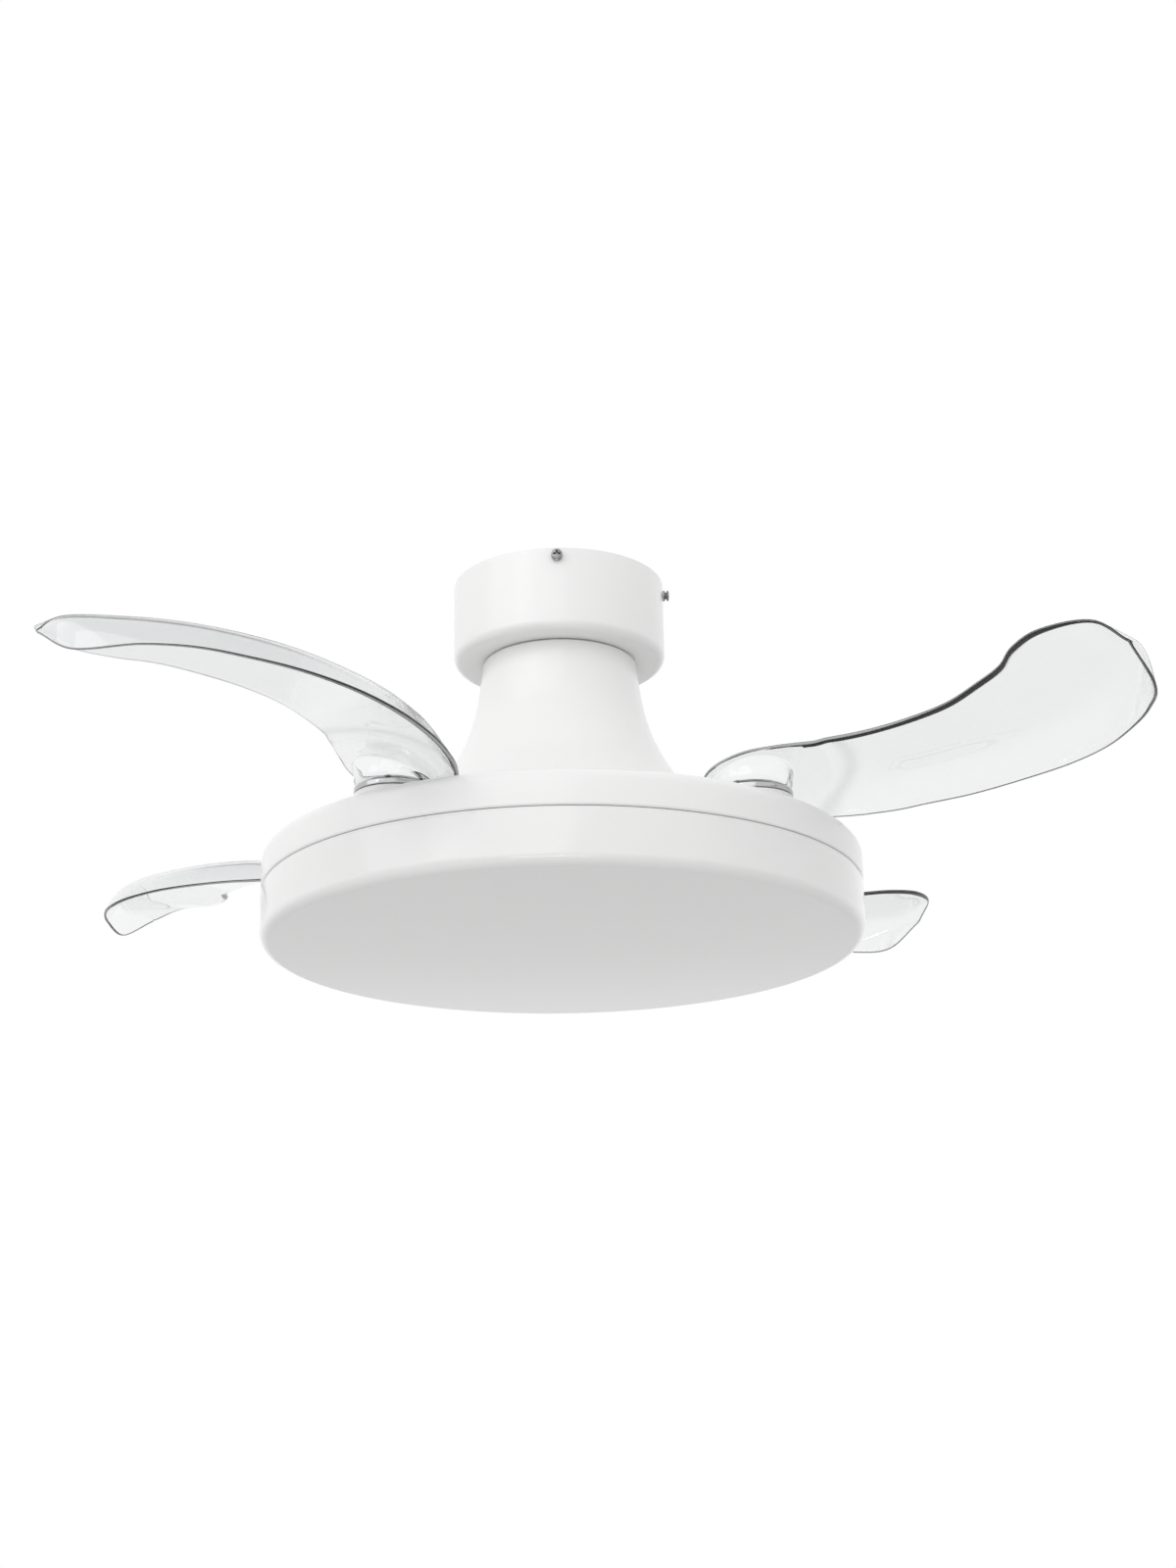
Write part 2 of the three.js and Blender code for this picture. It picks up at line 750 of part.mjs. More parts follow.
function motorScrew([x, y]) {
  const foot = flangeUnder + bellPlate + seat;
  const outline = [
    [0, endPlateTop - bellPlate - 2],
    [motorScrewRadius, endPlateTop - bellPlate - 2],
    [motorScrewRadius, foot],
    [motorScrewHeadRadius, foot],
    [motorScrewHeadRadius, foot + motorScrewHeadHeight / 2],
    [motorScrewHeadRadius / 2, foot + motorScrewHeadHeight],
    [0, foot + motorScrewHeadHeight],
  ];
  return turned(outline, screwFacets).translate([x, y, 0]);
}

// ---------------------------------------------------------------------------------------------------
// Tray and fold gear
// ---------------------------------------------------------------------------------------------------

const bladeAzimuths = around(bladeCount, firstBladeAzimuth);
const bushOuter = spindleRadius + spindleRunning + bushWall;
const hubStepTop = trayTop + hubStepHeight;

function carrierTray() {
  const skin = [
    [trayBore, trayTop],
    ...arc(bodyRadius - trayCorner, trayTop - trayCorner, trayCorner, 90, 0, 2),
    [bodyRadius, trayFoot + trayLip],
    [bodyRadius - trayLip, trayFoot],
  ];
  const shell = turned(sheet(skin, traySheet), largeFacets);
  const skirtInner = bodyRadius - traySheet;
  const ledgeFoot = coverTop + seat;
  const ledgeTop = ledgeFoot + trayLedgeHeight;
  const ledge = ring(skirtInner - trayLedgeWidth, skirtInner + 1, ledgeFoot, ledgeTop, largeFacets);
  const guide = ring(guideRadius - guideWall, guideRadius, ledgeFoot, trayUnder + 1, innerFacets);
  const stepTop = hubRadius - hubStepInset;
  const stepFoot = stepTop + hubStepDraft;
  const step = (inset, drop) =>
    turned(
      [
        [0, trayUnder - drop],
        [stepFoot - inset, trayUnder - drop],
        [stepFoot - inset, trayUnder],
        [stepTop - inset, hubStepTop - drop],
        [0, hubStepTop - drop],
      ],
      mediumFacets,
    );
  const places = bladeAzimuths.map((azimuth) => at(spindleCircle, azimuth));
  const steps = places.map(([x, y]) => step(0, 0).translate([x, y, 0]));
  const hollows = places.map(([x, y]) => step(traySheet, traySheet).translate([x, y, 0]));
  const bossTop = hubStepTop - traySheet / 2;
  const bosses = places.map(([x, y]) => rod(bossRadius, bossFoot, bossTop, smallFacets, x, y));
  const bores = places.map(([x, y]) => rod(bushOuter + seat, bossFoot - 1, bossTop + 2, smallFacets, x, y));
  const pressed = cut(join(shell, ...steps), ...hollows);
  return cut(join(pressed, ledge, guide, ...bosses), ...bores, ...motorScrewHoles());
}

function spindleBush() {
  const inner = spindleRadius + spindleRunning;
  const outline = [
    [inner, bushFoot],
    [bushOuter + 3, bushFoot],
    [bushOuter + 3, bushFoot + bushFlange],
    [bushOuter, bushFoot + bushFlange],
    [bushOuter, hubStepTop],
    [inner, hubStepTop],
  ];
  return turned(outline, smallFacets);
}

function gearCover() {
  const rim = bodyRadius - traySheet - seat;
  const plate = ring(guideRadius - guideWall, rim, coverTop - coverThickness, coverTop, largeFacets);
  const holes = bladeAzimuths.map((azimuth) => {
    const [x, y] = at(spindleCircle, azimuth);
    return rod(clipRadius + 2, coverTop - 3, coverTop + 1, smallFacets, x, y);
  });
  return cut(plate, ...holes);
}

// The outline of some teeth of a spur gear, as root and tip corners. Corner angles follow the involute,
// and the straight flanks between them lie inside it. The first gap is centred on the first azimuth.
function toothCorners(teeth, addendum, first, count) {
  const pitchRadius = (gearModule * teeth) / 2;
  const baseRadius = pitchRadius * Math.cos(radians(pressureAngle));
  const involute = (radius) => {
    const turn = Math.acos(Math.min(1, baseRadius / radius));
    return THREE.MathUtils.radToDeg(Math.tan(turn) - turn);
  };
  const backlash = THREE.MathUtils.radToDeg(gearBacklash / 4 / pitchRadius);
  const halfAt = (radius) => 90 / teeth - backlash + involute(pitchRadius) - involute(radius);
  const root = pitchRadius - gearDedendum * gearModule;
  const tip = pitchRadius + addendum * gearModule;
  return Array.from({ length: count }, (_, i) => first + (360 * (i + 0.5)) / teeth).flatMap((middle) => [
    at(root, middle - halfAt(root)),
    at(tip, middle - halfAt(tip)),
    at(tip, middle + halfAt(tip)),
    at(root, middle + halfAt(root)),
  ]);
}

// A ring with a toothed stretch for each pinion, as long as the pinion's fold needs.
function syncRing() {
  const pitch = 360 / ringTeeth;
  const travel = (foldAngle * pinionTeeth) / ringTeeth;
  const before = Math.ceil(travel / pitch) + meshTeeth;
  const root = ringPitchRadius - gearDedendum * gearModule;
  const rim = bladeAzimuths.flatMap((azimuth) => {
    const plainFrom = azimuth + (meshTeeth + 0.5) * pitch;
    const plainTo = azimuth + 360 / bladeCount - (before + 0.5) * pitch;
    return [
      ...toothCorners(ringTeeth, ringAddendum, azimuth - before * pitch, before + meshTeeth),
      ...arc(0, 0, root, plainFrom, plainTo, 5),
    ];
  });
  const hubInner = (guideRadius + seat) / flatFactor(innerFacets);
  const hubOuter = hubInner + ringHubWidth;
  const rimInner = root - ringRimWidth;
  const bore = circle(hubInner, innerFacets);
  const windows = around(ringSpokes).map((azimuth) => {
    const reach = 180 / ringSpokes;
    const outer = reach - halfAngle(ringSpokeWidth, rimInner);
    const inner = reach - halfAngle(ringSpokeWidth, hubOuter);
    return [
      ...arc(0, 0, rimInner, azimuth - outer, azimuth + outer, 3),
      ...arc(0, 0, hubOuter, azimuth + inner, azimuth - inner, 2),
    ];
  });
  return prism(rim, gearFoot, gearTop, [bore, ...windows]);
}

// One of its teeth points at the fan's axis, along the blade frame's -X, into a gap of the ring.
function pinion() {
  const bore = circle(spindleRadius + seat, smallFacets);
  const halfPitch = 180 / pinionTeeth;
  const rim = toothCorners(pinionTeeth, pinionAddendum, 180 - halfPitch, pinionTeeth);
  return prism(rim, gearFoot, gearTop, [bore]);
}

class SpringCurve extends THREE.Curve {
  getPoint(t, target = new THREE.Vector3()) {
    const radius = bossRadius + springClearance + springWire / 2;
    const angle = 2 * Math.PI * springTurns * t;
    const top = trayUnder - seat - springWire / 2;
    const drop = springPitch * springTurns * t;
    return target.set(radius * Math.cos(angle), radius * Math.sin(angle), top - drop);
  }
}

function returnSpring() {
  const wire = new THREE.Shape(arc(0, 0, springWire / 2, 0, 270, 3).map(([x, y]) => new THREE.Vector2(x, y)));
  const coil = new THREE.ExtrudeGeometry(wire, {
    steps: springSteps * springTurns,
    extrudePath: new SpringCurve(),
    bevelEnabled: false,
  });
  return solidOf(coil);
}

// A C-shaped clip in the spindle's groove.
function spindleClip() {
  const grooveRadius = spindleRadius - clipGroove + seat;
  const outline = [
    ...arc(0, 0, clipRadius, clipMouth, 360 - clipMouth, 8),
    ...arc(0, 0, grooveRadius, 360 - clipMouth, clipMouth, 10),
  ];
  return prism(outline, clipFoot, clipTop);
}

// ---------------------------------------------------------------------------------------------------
// Blade and its hub
// ---------------------------------------------------------------------------------------------------

const hubFoot = hubStepTop + seat;
const hubTop = hubFoot + hubHeight;
const cupFoot = hubTop + seat;
const cupScrewPlaces = around(cupScrewCount, cupScrewFirst).map((azimuth) => at(cupScrewCircle, azimuth));

// The bright disc that the cup sits on, with its spindle and the heads of the screws that hold the cup.
function bladeHub() {
  const groove = spindleRadius - clipGroove;
  const disc = rod(hubRadius, hubFoot, hubTop, mediumFacets);
  const spindle = turned(
    [
      [0, spindleFoot],
      [spindleRadius, spindleFoot],
      [spindleRadius, clipFoot - seat / 2],
      [groove, clipFoot - seat / 2],
      [groove, clipTop + seat / 2],
      [spindleRadius, clipTop + seat / 2],
      [spindleRadius, hubFoot + 1],
      [0, hubFoot + 1],
    ],
    smallFacets,
  );
  const headFoot = cupFoot + cupWall + seat;
  const screws = cupScrewPlaces.flatMap(([x, y]) => [
    rod(cupScrewRadius, hubTop - 1, headFoot + 0.5, 6, x, y),
    rod(cupScrewHeadRadius, headFoot, headFoot + cupScrewHeadHeight, screwFacets, x, y),
  ]);
  return join(disc, spindle, ...screws);
}

const edgeThrough = (points) =>
  new THREE.CatmullRomCurve3(points.map((point) => new THREE.Vector3(...point)));
const hollowEdge = edgeThrough(bladeStations.map((station) => station.slice(0, 3)));
const bowedEdge = edgeThrough(bladeStations.map((station) => station.slice(3)));

// A point of the blade's upper face: along is 0 at the root and 1 at the tip, across is 0 at the hollow
// edge and 1 at the bowed edge.
function bladePoint(along, across) {
  const from = hollowEdge.getPoint(along);
  const to = bowedEdge.getPoint(along);
  const curl = lipShare * THREE.MathUtils.smoothstep(along, lipFrom, lipFull);
  const fall = (1 - curl) * across + curl * across ** lipSharpness;
  const x = mix(from.x, to.x, across);
  const y = mix(from.y, to.y, across);
  const fromSpindle = Math.hypot(x, y);
  const creaseInner = creaseRadius - creaseWidth / 2;
  const root = 1 - THREE.MathUtils.smoothstep(fromSpindle, creaseInner, creaseInner + creaseWidth);
  const height = mix(from.z, to.z, fall) - creaseStep * root;
  return [x, y, trayTop + height];
}

// A solid between the blade's upper face and what underOf gives below each of its points.
function bladeSolid(underOf) {
  const rows = alongSteps + 1;
  const columns = acrossSteps + 1;
  const upper = [];
  for (let i = 0; i < rows; i++)
    for (let j = 0; j < columns; j++) {
      const across = 1 - (1 - j / acrossSteps) ** columnCrowding;
      upper.push(bladePoint(i / alongSteps, across));
    }
  const lower = upper.map(underOf);
  const index = [];
  const quad = (a, b, c, d) => index.push(a, b, c, a, c, d);
  const place = (i, j) => i * columns + j;
  const below = rows * columns;
  for (let i = 0; i < alongSteps; i++)
    for (let j = 0; j < acrossSteps; j++) {
      const corners = [place(i, j), place(i + 1, j), place(i + 1, j + 1), place(i, j + 1)];
      quad(...corners);
      quad(...corners.map((corner) => corner + below).reverse());
    }
  const rim = [];
  for (let i = 0; i < alongSteps; i++) rim.push(place(i, 0));
  for (let j = 0; j < acrossSteps; j++) rim.push(place(alongSteps, j));
  for (let i = alongSteps; i > 0; i--) rim.push(place(i, acrossSteps));
  for (let j = acrossSteps; j > 0; j--) rim.push(place(0, j));
  rim.forEach((from, i) => {
    const to = rim[(i + 1) % rim.length];
    quad(from, from + below, to + below, to);
  });
  const geometry = new THREE.BufferGeometry();
  geometry.setAttribute("position", new THREE.Float32BufferAttribute([...upper, ...lower].flat(), 3));
  geometry.setIndex(index);
  return solidOf(geometry);
}

function clearBlade() {
  const plate = bladeSolid(([x, y, z]) => [x, y, z - bladeSheet]);
  const underFace = bladeSolid(([x, y]) => [x, y, trayTop]);
  const wall = new THREE.QuadraticBezierCurve(
    new THREE.Vector2(cupRimRadius, cupFoot + cupRise),
    new THREE.Vector2(cupFloorRadius + 0.6, cupFoot + cupRise * 0.55),
    new THREE.Vector2(cupFloorRadius, cupFoot + cupCorner),
  );
  const skin = [
    ...wall.getPoints(2).map(({ x, y }) => [x, y]),
    ...arc(cupFloorRadius - cupCorner, cupFoot + cupCorner, cupCorner, 0, -90, 1).slice(1),
    [0, cupFoot],
  ];
  const outline = sheet(skin, cupWall);
  const inner = outline.slice(skin.length);
  const hollow = turned([...inner, [0, cupFoot + cupRise]], mediumFacets);
  const cup = turned(outline, mediumFacets).intersect(underFace);
  const screwHoles = cupScrewPlaces.map(([x, y]) =>
    rod(cupScrewRadius + screwClearance, cupFoot - 1, cupFoot + cupWall + 1, screwFacets, x, y),
  );
  return cut(join(cut(plate, hollow), cup), ...screwHoles);
}

// ---------------------------------------------------------------------------------------------------
// Lamp
// ---------------------------------------------------------------------------------------------------

// What stands inside a turned piece is measured from that piece's flats, and what stands outside it from
// its corners.
const ledgeInner = bodyRadius - diffuserWall - diffuserLedgeWidth;
const leafOuter = ledgeInner * flatFactor(largeFacets) - diffuserClipClearance;
const leafInner = leafOuter - clipLeafThickness;
const panRadius = leafInner - diffuserClipClearance / 2;
const ledgeTop = diffuserTop - diffuserLedgeDrop;
const ledgeFoot = ledgeTop - diffuserLedgeHeight;

function lampSpacer() {
  return ring(bearingBore, spacerOuter, panTop + seat, endPlateTop, mediumFacets);
}

function lampPan() {
  const skin = [
    [bearingBore, panTop],
    ...arc(panRadius - panCorner, panTop - panCorner, panCorner, 90, 0, 1),
    [panRadius, panTop - panRim],
  ];
  return turned(sheet(skin, panSheet), largeFacets);
}

function ledBoard() {
  const top = panUnder - seat;
  const foot = top - boardThickness;
  const board = ring(boardInner, boardOuter, foot, top, innerFacets);
  const [width, depth, height] = ledSize;
  const leds = ledRings.flatMap(([radius, count]) =>
    around(count).map((azimuth) =>
      box(width, depth, foot - height, foot + 0.5, radius).rotate([0, 0, azimuth]),
    ),
  );
  return join(board, ...leds);
}

function ledDriver() {
  const [width, depth, height] = driverSize;
  const top = panUnder - seat;
  return prism(roundedRectangle(width, depth, 3), top - height, top).translate([0, driverOffset, 0]);
}

function diffuser() {
  const skin = [
    [bodyRadius, diffuserTop],
    ...arc(bodyRadius - diffuserCorner, diffuserFloor + diffuserCorner, diffuserCorner, 0, -90, 2),
    [0, diffuserFloor],
  ];
  const ledge = ring(ledgeInner, bodyRadius - diffuserWall + 1, ledgeFoot, ledgeTop, largeFacets);
  return join(turned(sheet(skin, diffuserWall), largeFacets), ledge);
}

// A leaf on the pan's rim with a nose under the diffuser's ledge.
function diffuserClip(azimuth) {
  const noseTop = ledgeFoot - seat;
  const noseFoot = noseTop - clipNoseHeight;
  const leaf = arcBlock(leafInner, leafOuter, noseFoot, ledgeTop + 3, azimuth, clipNoseWidth);
  const noseOuter = (bodyRadius - diffuserWall) * flatFactor(largeFacets) - diffuserClipClearance;
  const nose = arcBlock(leafInner, noseOuter, noseFoot, noseTop, azimuth, clipNoseWidth);
  return join(leaf, nose);
}

// ---------------------------------------------------------------------------------------------------
// Assembly
// ---------------------------------------------------------------------------------------------------

const finish = (color, roughness, metalness) =>
  new THREE.MeshStandardMaterial({ color, roughness, metalness });
const whitePaint = finish(0xf2f2f0, 0.35, 0);
const chrome = finish(0xd8dadc, 0.12, 1);
const zincSteel = finish(0xb9bcc0, 0.35, 1);
const darkSteel = finish(0x5c5f63, 0.45, 1);
const copper = finish(0xb06a3a, 0.4, 1);
const ferrite = finish(0x2c2c2f, 0.7, 0.1);
const bronze = finish(0xa8834c, 0.45, 1);
const gearPlastic = finish(0xe6e2d3, 0.5, 0);
const blackPlastic = finish(0x232427, 0.55, 0);
const boardWhite = finish(0xe9ecec, 0.5, 0);
const opal = finish(0xdfe0df, 0.45, 0);
const clear = new THREE.MeshStandardMaterial({
  color: 0xd4d6d8,
  roughness: 0.08,
  metalness: 0,
  transparent: true,
  opacity: 0.4,
});

function piece(name, solid, material) {
  const mesh = new THREE.Mesh(geometryOf(solid), material);
  mesh.name = name;
  return mesh;
}

const fan = new THREE.Group();

fan.add(
  piece("ceiling_bracket", ceilingBracket(), zincSteel),
  piece("hanger_yoke", hangerYoke(), zincSteel),
  piece("shaft_nut", hexNut(shaftNutRadius, nutFoot, nutTop), zincSteel),
  piece("shaft_pin", shaftPin(), zincSteel),
  piece("motor_shaft", motorShaft(), zincSteel),
  piece("canopy", canopy(), whitePaint),
  piece("terminal_block", terminalBlock(), gearPlastic),
  piece("receiver_module", receiverModule(), blackPlastic),
  piece("neck_cover", neckCover(), whitePaint),
  piece("neck_collar", neckCollar(), zincSteel),
);
for (const [side, azimuth] of Object.entries(canopyScrewAzimuths))
  fan.add(piece(`canopy_screw_${side}`, canopyScrew(azimuth), zincSteel));

fan.add(
  piece("stator_core", statorCore(), darkSteel),
  piece("stator_winding", statorWinding(), copper),
  piece("magnet_ring", magnetRing(), ferrite),
  piece("bearing_upper", bearing(upperBearingFoot), zincSteel),
  piece("bearing_lower", bearing(lowerBearingFoot), zincSteel),
  piece("motor_bell", motorBell(), darkSteel),
  piece("motor_end_plate", motorEndPlate(), darkSteel),
  piece("carrier_tray", carrierTray(), whitePaint),
  piece("gear_cover", gearCover(), zincSteel),
  piece("sync_ring", syncRing(), gearPlastic),
);
motorScrewPlaces.forEach((place, i) => fan.add(piece(`motor_screw_${i + 1}`, motorScrew(place), zincSteel)));

// Each blade hangs in a group whose origin is its spindle and whose +X points away from the axis.
bladeAzimuths.forEach((azimuth, i) => {
  const letter = "abcd"[i];
  const spindle = new THREE.Group();
  spindle.position.set(...at(spindleCircle, azimuth), 0);
  spindle.rotation.z = radians(azimuth);
  spindle.add(
    piece(`blade_${letter}`, clearBlade(), clear),
    piece(`blade_hub_${letter}`, bladeHub(), chrome),
    piece(`pinion_${letter}`, pinion(), gearPlastic),
    piece(`spindle_bush_${letter}`, spindleBush(), bronze),
    piece(`spindle_clip_${letter}`, spindleClip(), zincSteel),
    piece(`return_spring_${letter}`, returnSpring(), zincSteel),
  );
  fan.add(spindle);
});

fan.add(
  piece("lamp_spacer", lampSpacer(), zincSteel),
  piece("lamp_pan", lampPan(), whitePaint),
  piece("lamp_nut", hexNut(lampNutRadius, panUnder - seat - lampNutHeight, panUnder - seat), zincSteel),
  piece("led_board", ledBoard(), boardWhite),
  piece("led_driver", ledDriver(), blackPlastic),
  piece("diffuser", diffuser(), opal),
);
for (const [side, azimuth] of Object.entries(diffuserClipAzimuths))
  fan.add(piece(`diffuser_clip_${side}`, diffuserClip(azimuth), zincSteel));

export default fan;
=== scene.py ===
# %% [markdown]
# A ceiling fan with four clear blades that fold in over its lamp.
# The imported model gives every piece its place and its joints. This script dresses it: smooth turned
# covers, moulded clear blades, bright hubs and screws, and the studio that they are seen in.
# Sizes are written in millimetres, as a maker would, and turned into metres as each mesh is made.

import json
import math

import bmesh
import bpy
import numpy as np
from mathutils import Matrix, Vector


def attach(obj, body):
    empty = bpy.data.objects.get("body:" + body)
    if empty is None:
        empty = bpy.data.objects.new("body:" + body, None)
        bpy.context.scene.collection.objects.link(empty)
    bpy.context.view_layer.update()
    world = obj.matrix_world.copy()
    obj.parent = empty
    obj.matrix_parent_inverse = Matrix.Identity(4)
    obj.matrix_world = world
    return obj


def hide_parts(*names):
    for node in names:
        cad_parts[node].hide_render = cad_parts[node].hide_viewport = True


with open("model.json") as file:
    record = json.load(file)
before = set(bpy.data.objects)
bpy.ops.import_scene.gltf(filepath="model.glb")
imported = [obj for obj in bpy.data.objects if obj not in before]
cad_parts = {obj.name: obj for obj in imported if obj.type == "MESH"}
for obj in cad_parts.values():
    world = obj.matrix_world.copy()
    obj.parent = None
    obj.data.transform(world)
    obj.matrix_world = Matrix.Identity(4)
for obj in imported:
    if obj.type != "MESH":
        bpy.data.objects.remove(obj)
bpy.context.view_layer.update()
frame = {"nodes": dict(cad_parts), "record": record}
nodes = frame["nodes"]
MM = 0.001
print("pieces in the frame:", len(nodes))

# %% [markdown]
# The camera stands below the fan and in front of it, a little to the right of its axis, and looks up.
# Its place was worked out from the circles of the canopy, the neck and the lamp, which show as ellipses.
# A camera looks along its own -Z, so it is first tipped up from the floor and then rolled about that
# line. The roll is under a degree, as of a camera held by hand.

# %% Place the camera
FRAME_HEIGHT_PX = 1600
FOCAL_PX = 2462.3
SENSOR = 36.0
CAMERA_PLACE = (0.0228, -1.9416, -0.8196)
CAMERA_PITCH = 18.26
CAMERA_ROLL = -0.964

camera_data = bpy.data.cameras.new("camera")
camera_data.sensor_fit = "VERTICAL"
camera_data.sensor_height = SENSOR
camera_data.lens = FOCAL_PX / FRAME_HEIGHT_PX * SENSOR
camera = bpy.data.objects.new("camera", camera_data)
bpy.context.scene.collection.objects.link(camera)
tip = Matrix.Rotation(math.radians(90 + CAMERA_PITCH), 4, "X")
roll = Matrix.Rotation(math.radians(CAMERA_ROLL), 4, "Z")
camera.matrix_world = Matrix.Translation(CAMERA_PLACE) @ tip @ roll
bpy.context.scene.camera = camera
print("lens:", round(camera_data.lens, 2), "mm")

# %% [markdown]
# A product of this kind is shot against white, in soft light from all round. The world gives that
# light. What the camera sees straight, or through the clear blades, or mirrored in bright metal, is
# plain white, while the light that falls on the fan is a little lower, so its white paint keeps its
# shading. High overhead the world is darker, but only for rays that come through clear plastic. A
# blade's fold bends those rays upward, and so it shows as a dark line, as it does under a real ceiling.

# %% Light the studio
WHITE = (1, 1, 1, 1)
WORLD_LEVEL = 0.87
OVERHEAD_SHADE = 0.75
OVERHEAD_START, OVERHEAD_FULL = 0.6, 0.9


def add_node(tree, kind, values=None, **settings):
    """A node with its settings, and with the values of inputs that nothing is joined to."""
    node = tree.nodes.new(kind)
    for name, value in settings.items():
        setattr(node, name, value)
    for socket, value in (values or {}).items():
        node.inputs[socket].default_value = value
    return node


def link(tree, *joins):
    """Each join goes from a node and its output to a node and its input."""
    for source, output, target, socket in joins:
        tree.links.new(source.outputs[output], target.inputs[socket])


world = bpy.data.worlds.new("studio")
world.use_nodes = True
bpy.context.scene.world = world
tree = world.node_tree
tree.nodes.clear()
rays = add_node(tree, "ShaderNodeLightPath")
camera_or_mirror = add_node(tree, "ShaderNodeMath", operation="MAXIMUM")
seen = add_node(tree, "ShaderNodeMath", operation="MAXIMUM")
level = add_node(tree, "ShaderNodeMapRange", {"To Min": WORLD_LEVEL, "To Max": 1.0})
background = add_node(tree, "ShaderNodeBackground", {"Color": WHITE})
out = add_node(tree, "ShaderNodeOutputWorld")
link(
    tree,
    (rays, "Is Camera Ray", camera_or_mirror, 0),
    (rays, "Is Glossy Ray", camera_or_mirror, 1),
    (camera_or_mirror, 0, seen, 0),
    (rays, "Is Transmission Ray", seen, 1),
    (seen, 0, level, "Value"),
)
bearing = add_node(tree, "ShaderNodeTexCoord")
upward = add_node(tree, "ShaderNodeSeparateXYZ")
overhead = add_node(
    tree,
    "ShaderNodeMapRange",
    {
        "From Min": OVERHEAD_START,
        "From Max": OVERHEAD_FULL,
        "To Max": OVERHEAD_SHADE,
    },
    interpolation_type="SMOOTHSTEP",
)
shade = add_node(tree, "ShaderNodeMath", operation="MULTIPLY")
lit = add_node(tree, "ShaderNodeMath", operation="SUBTRACT")
link(
    tree,
    (bearing, "Generated", upward, "Vector"),
    (upward, "Z", overhead, "Value"),
    (overhead, "Result", shade, 0),
    (rays, "Is Transmission Ray", shade, 1),
    (level, "Result", lit, 0),
    (shade, 0, lit, 1),
    (lit, 0, background, "Strength"),
    (background, "Background", out, "Surface"),
)
bpy.context.scene.view_settings.view_transform = "Standard"
print("world level:", WORLD_LEVEL)

# %% [markdown]
# Three lamps give the fan its form. A very large one at the front makes the gentle fall of tone round
# the housing: a small one would leave a hard streak on the glossy paint. A second one at the upper left
# keeps that side bright. A low, narrow strip draws a fine light line on the lamp's lower corner.

# %% Hang the lamps
FAN_MIDDLE = (0, 0, -0.2)


def area_lamp(name, place, aim, size, power, height=0.0):
    """A round lamp, or a strip of the given height."""
    data = bpy.data.lights.new(name, "AREA")
    data.shape = "RECTANGLE" if height else "DISK"
    data.size = size
    data.size_y = height
    data.energy = power
    lamp = bpy.data.objects.new(name, data)
    bpy.context.scene.collection.objects.link(lamp)
    lamp.location = place
    lamp.rotation_euler = (Vector(aim) - Vector(place)).to_track_quat("-Z", "Y").to_euler()
    return lamp


area_lamp("key", (-1.2, -3.2, 1.2), FAN_MIDDLE, size=3.6, power=20)
area_lamp("upper left", (-2.4, -1.75, 1.2), FAN_MIDDLE, size=2.8, power=12)
area_lamp("low strip", (-0.2, -3.2, -1.7), (0, 0, -0.3), size=1.6, power=5, height=0.09)
print("lamps:", len(bpy.data.lights))

# %% [markdown]
# Each finish is a node material: one plain colour would look like plastic film. Paint has a faint
# orange peel, plated steel has fine cloudiness, and moulded pieces have a slight grain. One function
# makes the shared part: noise in the object's own coordinates, which tips the surface and stirs the
# roughness. Numbers that are the same all over the surface are set on the shader itself. Each finish is
# filed under the name of its slot, so that a piece of the frame can find the one it asks for.


# %% Make the finishes
DARKER_GRAIN = 0.985
RELIEF_DEPTH = 0.0005
finish_of = {}


def finish(
    name, colour, roughness, metallic=0.0, grain=300.0, bump=0.02, stir=0.05, stretch=(1, 1, 1), **sockets
):
    """A node material with a grain: its noise scale, its bump and how much it stirs the roughness."""
    material = bpy.data.materials.new(name)
    material.use_nodes = True
    tree = material.node_tree
    shader = tree.nodes["Principled BSDF"]
    shader.inputs["Metallic"].default_value = metallic
    for socket, value in sockets.items():
        shader.inputs[socket].default_value = value
    place = add_node(tree, "ShaderNodeTexCoord")
    mapping = add_node(tree, "ShaderNodeMapping", {"Scale": stretch})
    noise = add_node(tree, "ShaderNodeTexNoise", {"Scale": grain, "Detail": 3.0})
    rough = add_node(
        tree, "ShaderNodeMapRange", {"To Min": max(0.0, roughness - stir), "To Max": roughness + stir}
    )
    ramp = add_node(
        tree,
        "ShaderNodeMix",
        {
            "A": (*[c * DARKER_GRAIN for c in colour], 1),
            "B": (*colour, 1),
        },
        data_type="RGBA",
    )
    relief = add_node(tree, "ShaderNodeBump", {"Strength": bump, "Distance": RELIEF_DEPTH})
    link(
        tree,
        (place, "Object", mapping, "Vector"),
        (mapping, "Vector", noise, "Vector"),
        (noise, "Fac", rough, "Value"),
        (rough, "Result", shader, "Roughness"),
        (noise, "Fac", ramp, "Factor"),
        (ramp, "Result", shader, "Base Color"),
        (noise, "Fac", relief, "Height"),
        (relief, "Normal", shader, "Normal"),
    )
    finish_of[name] = material
    return material


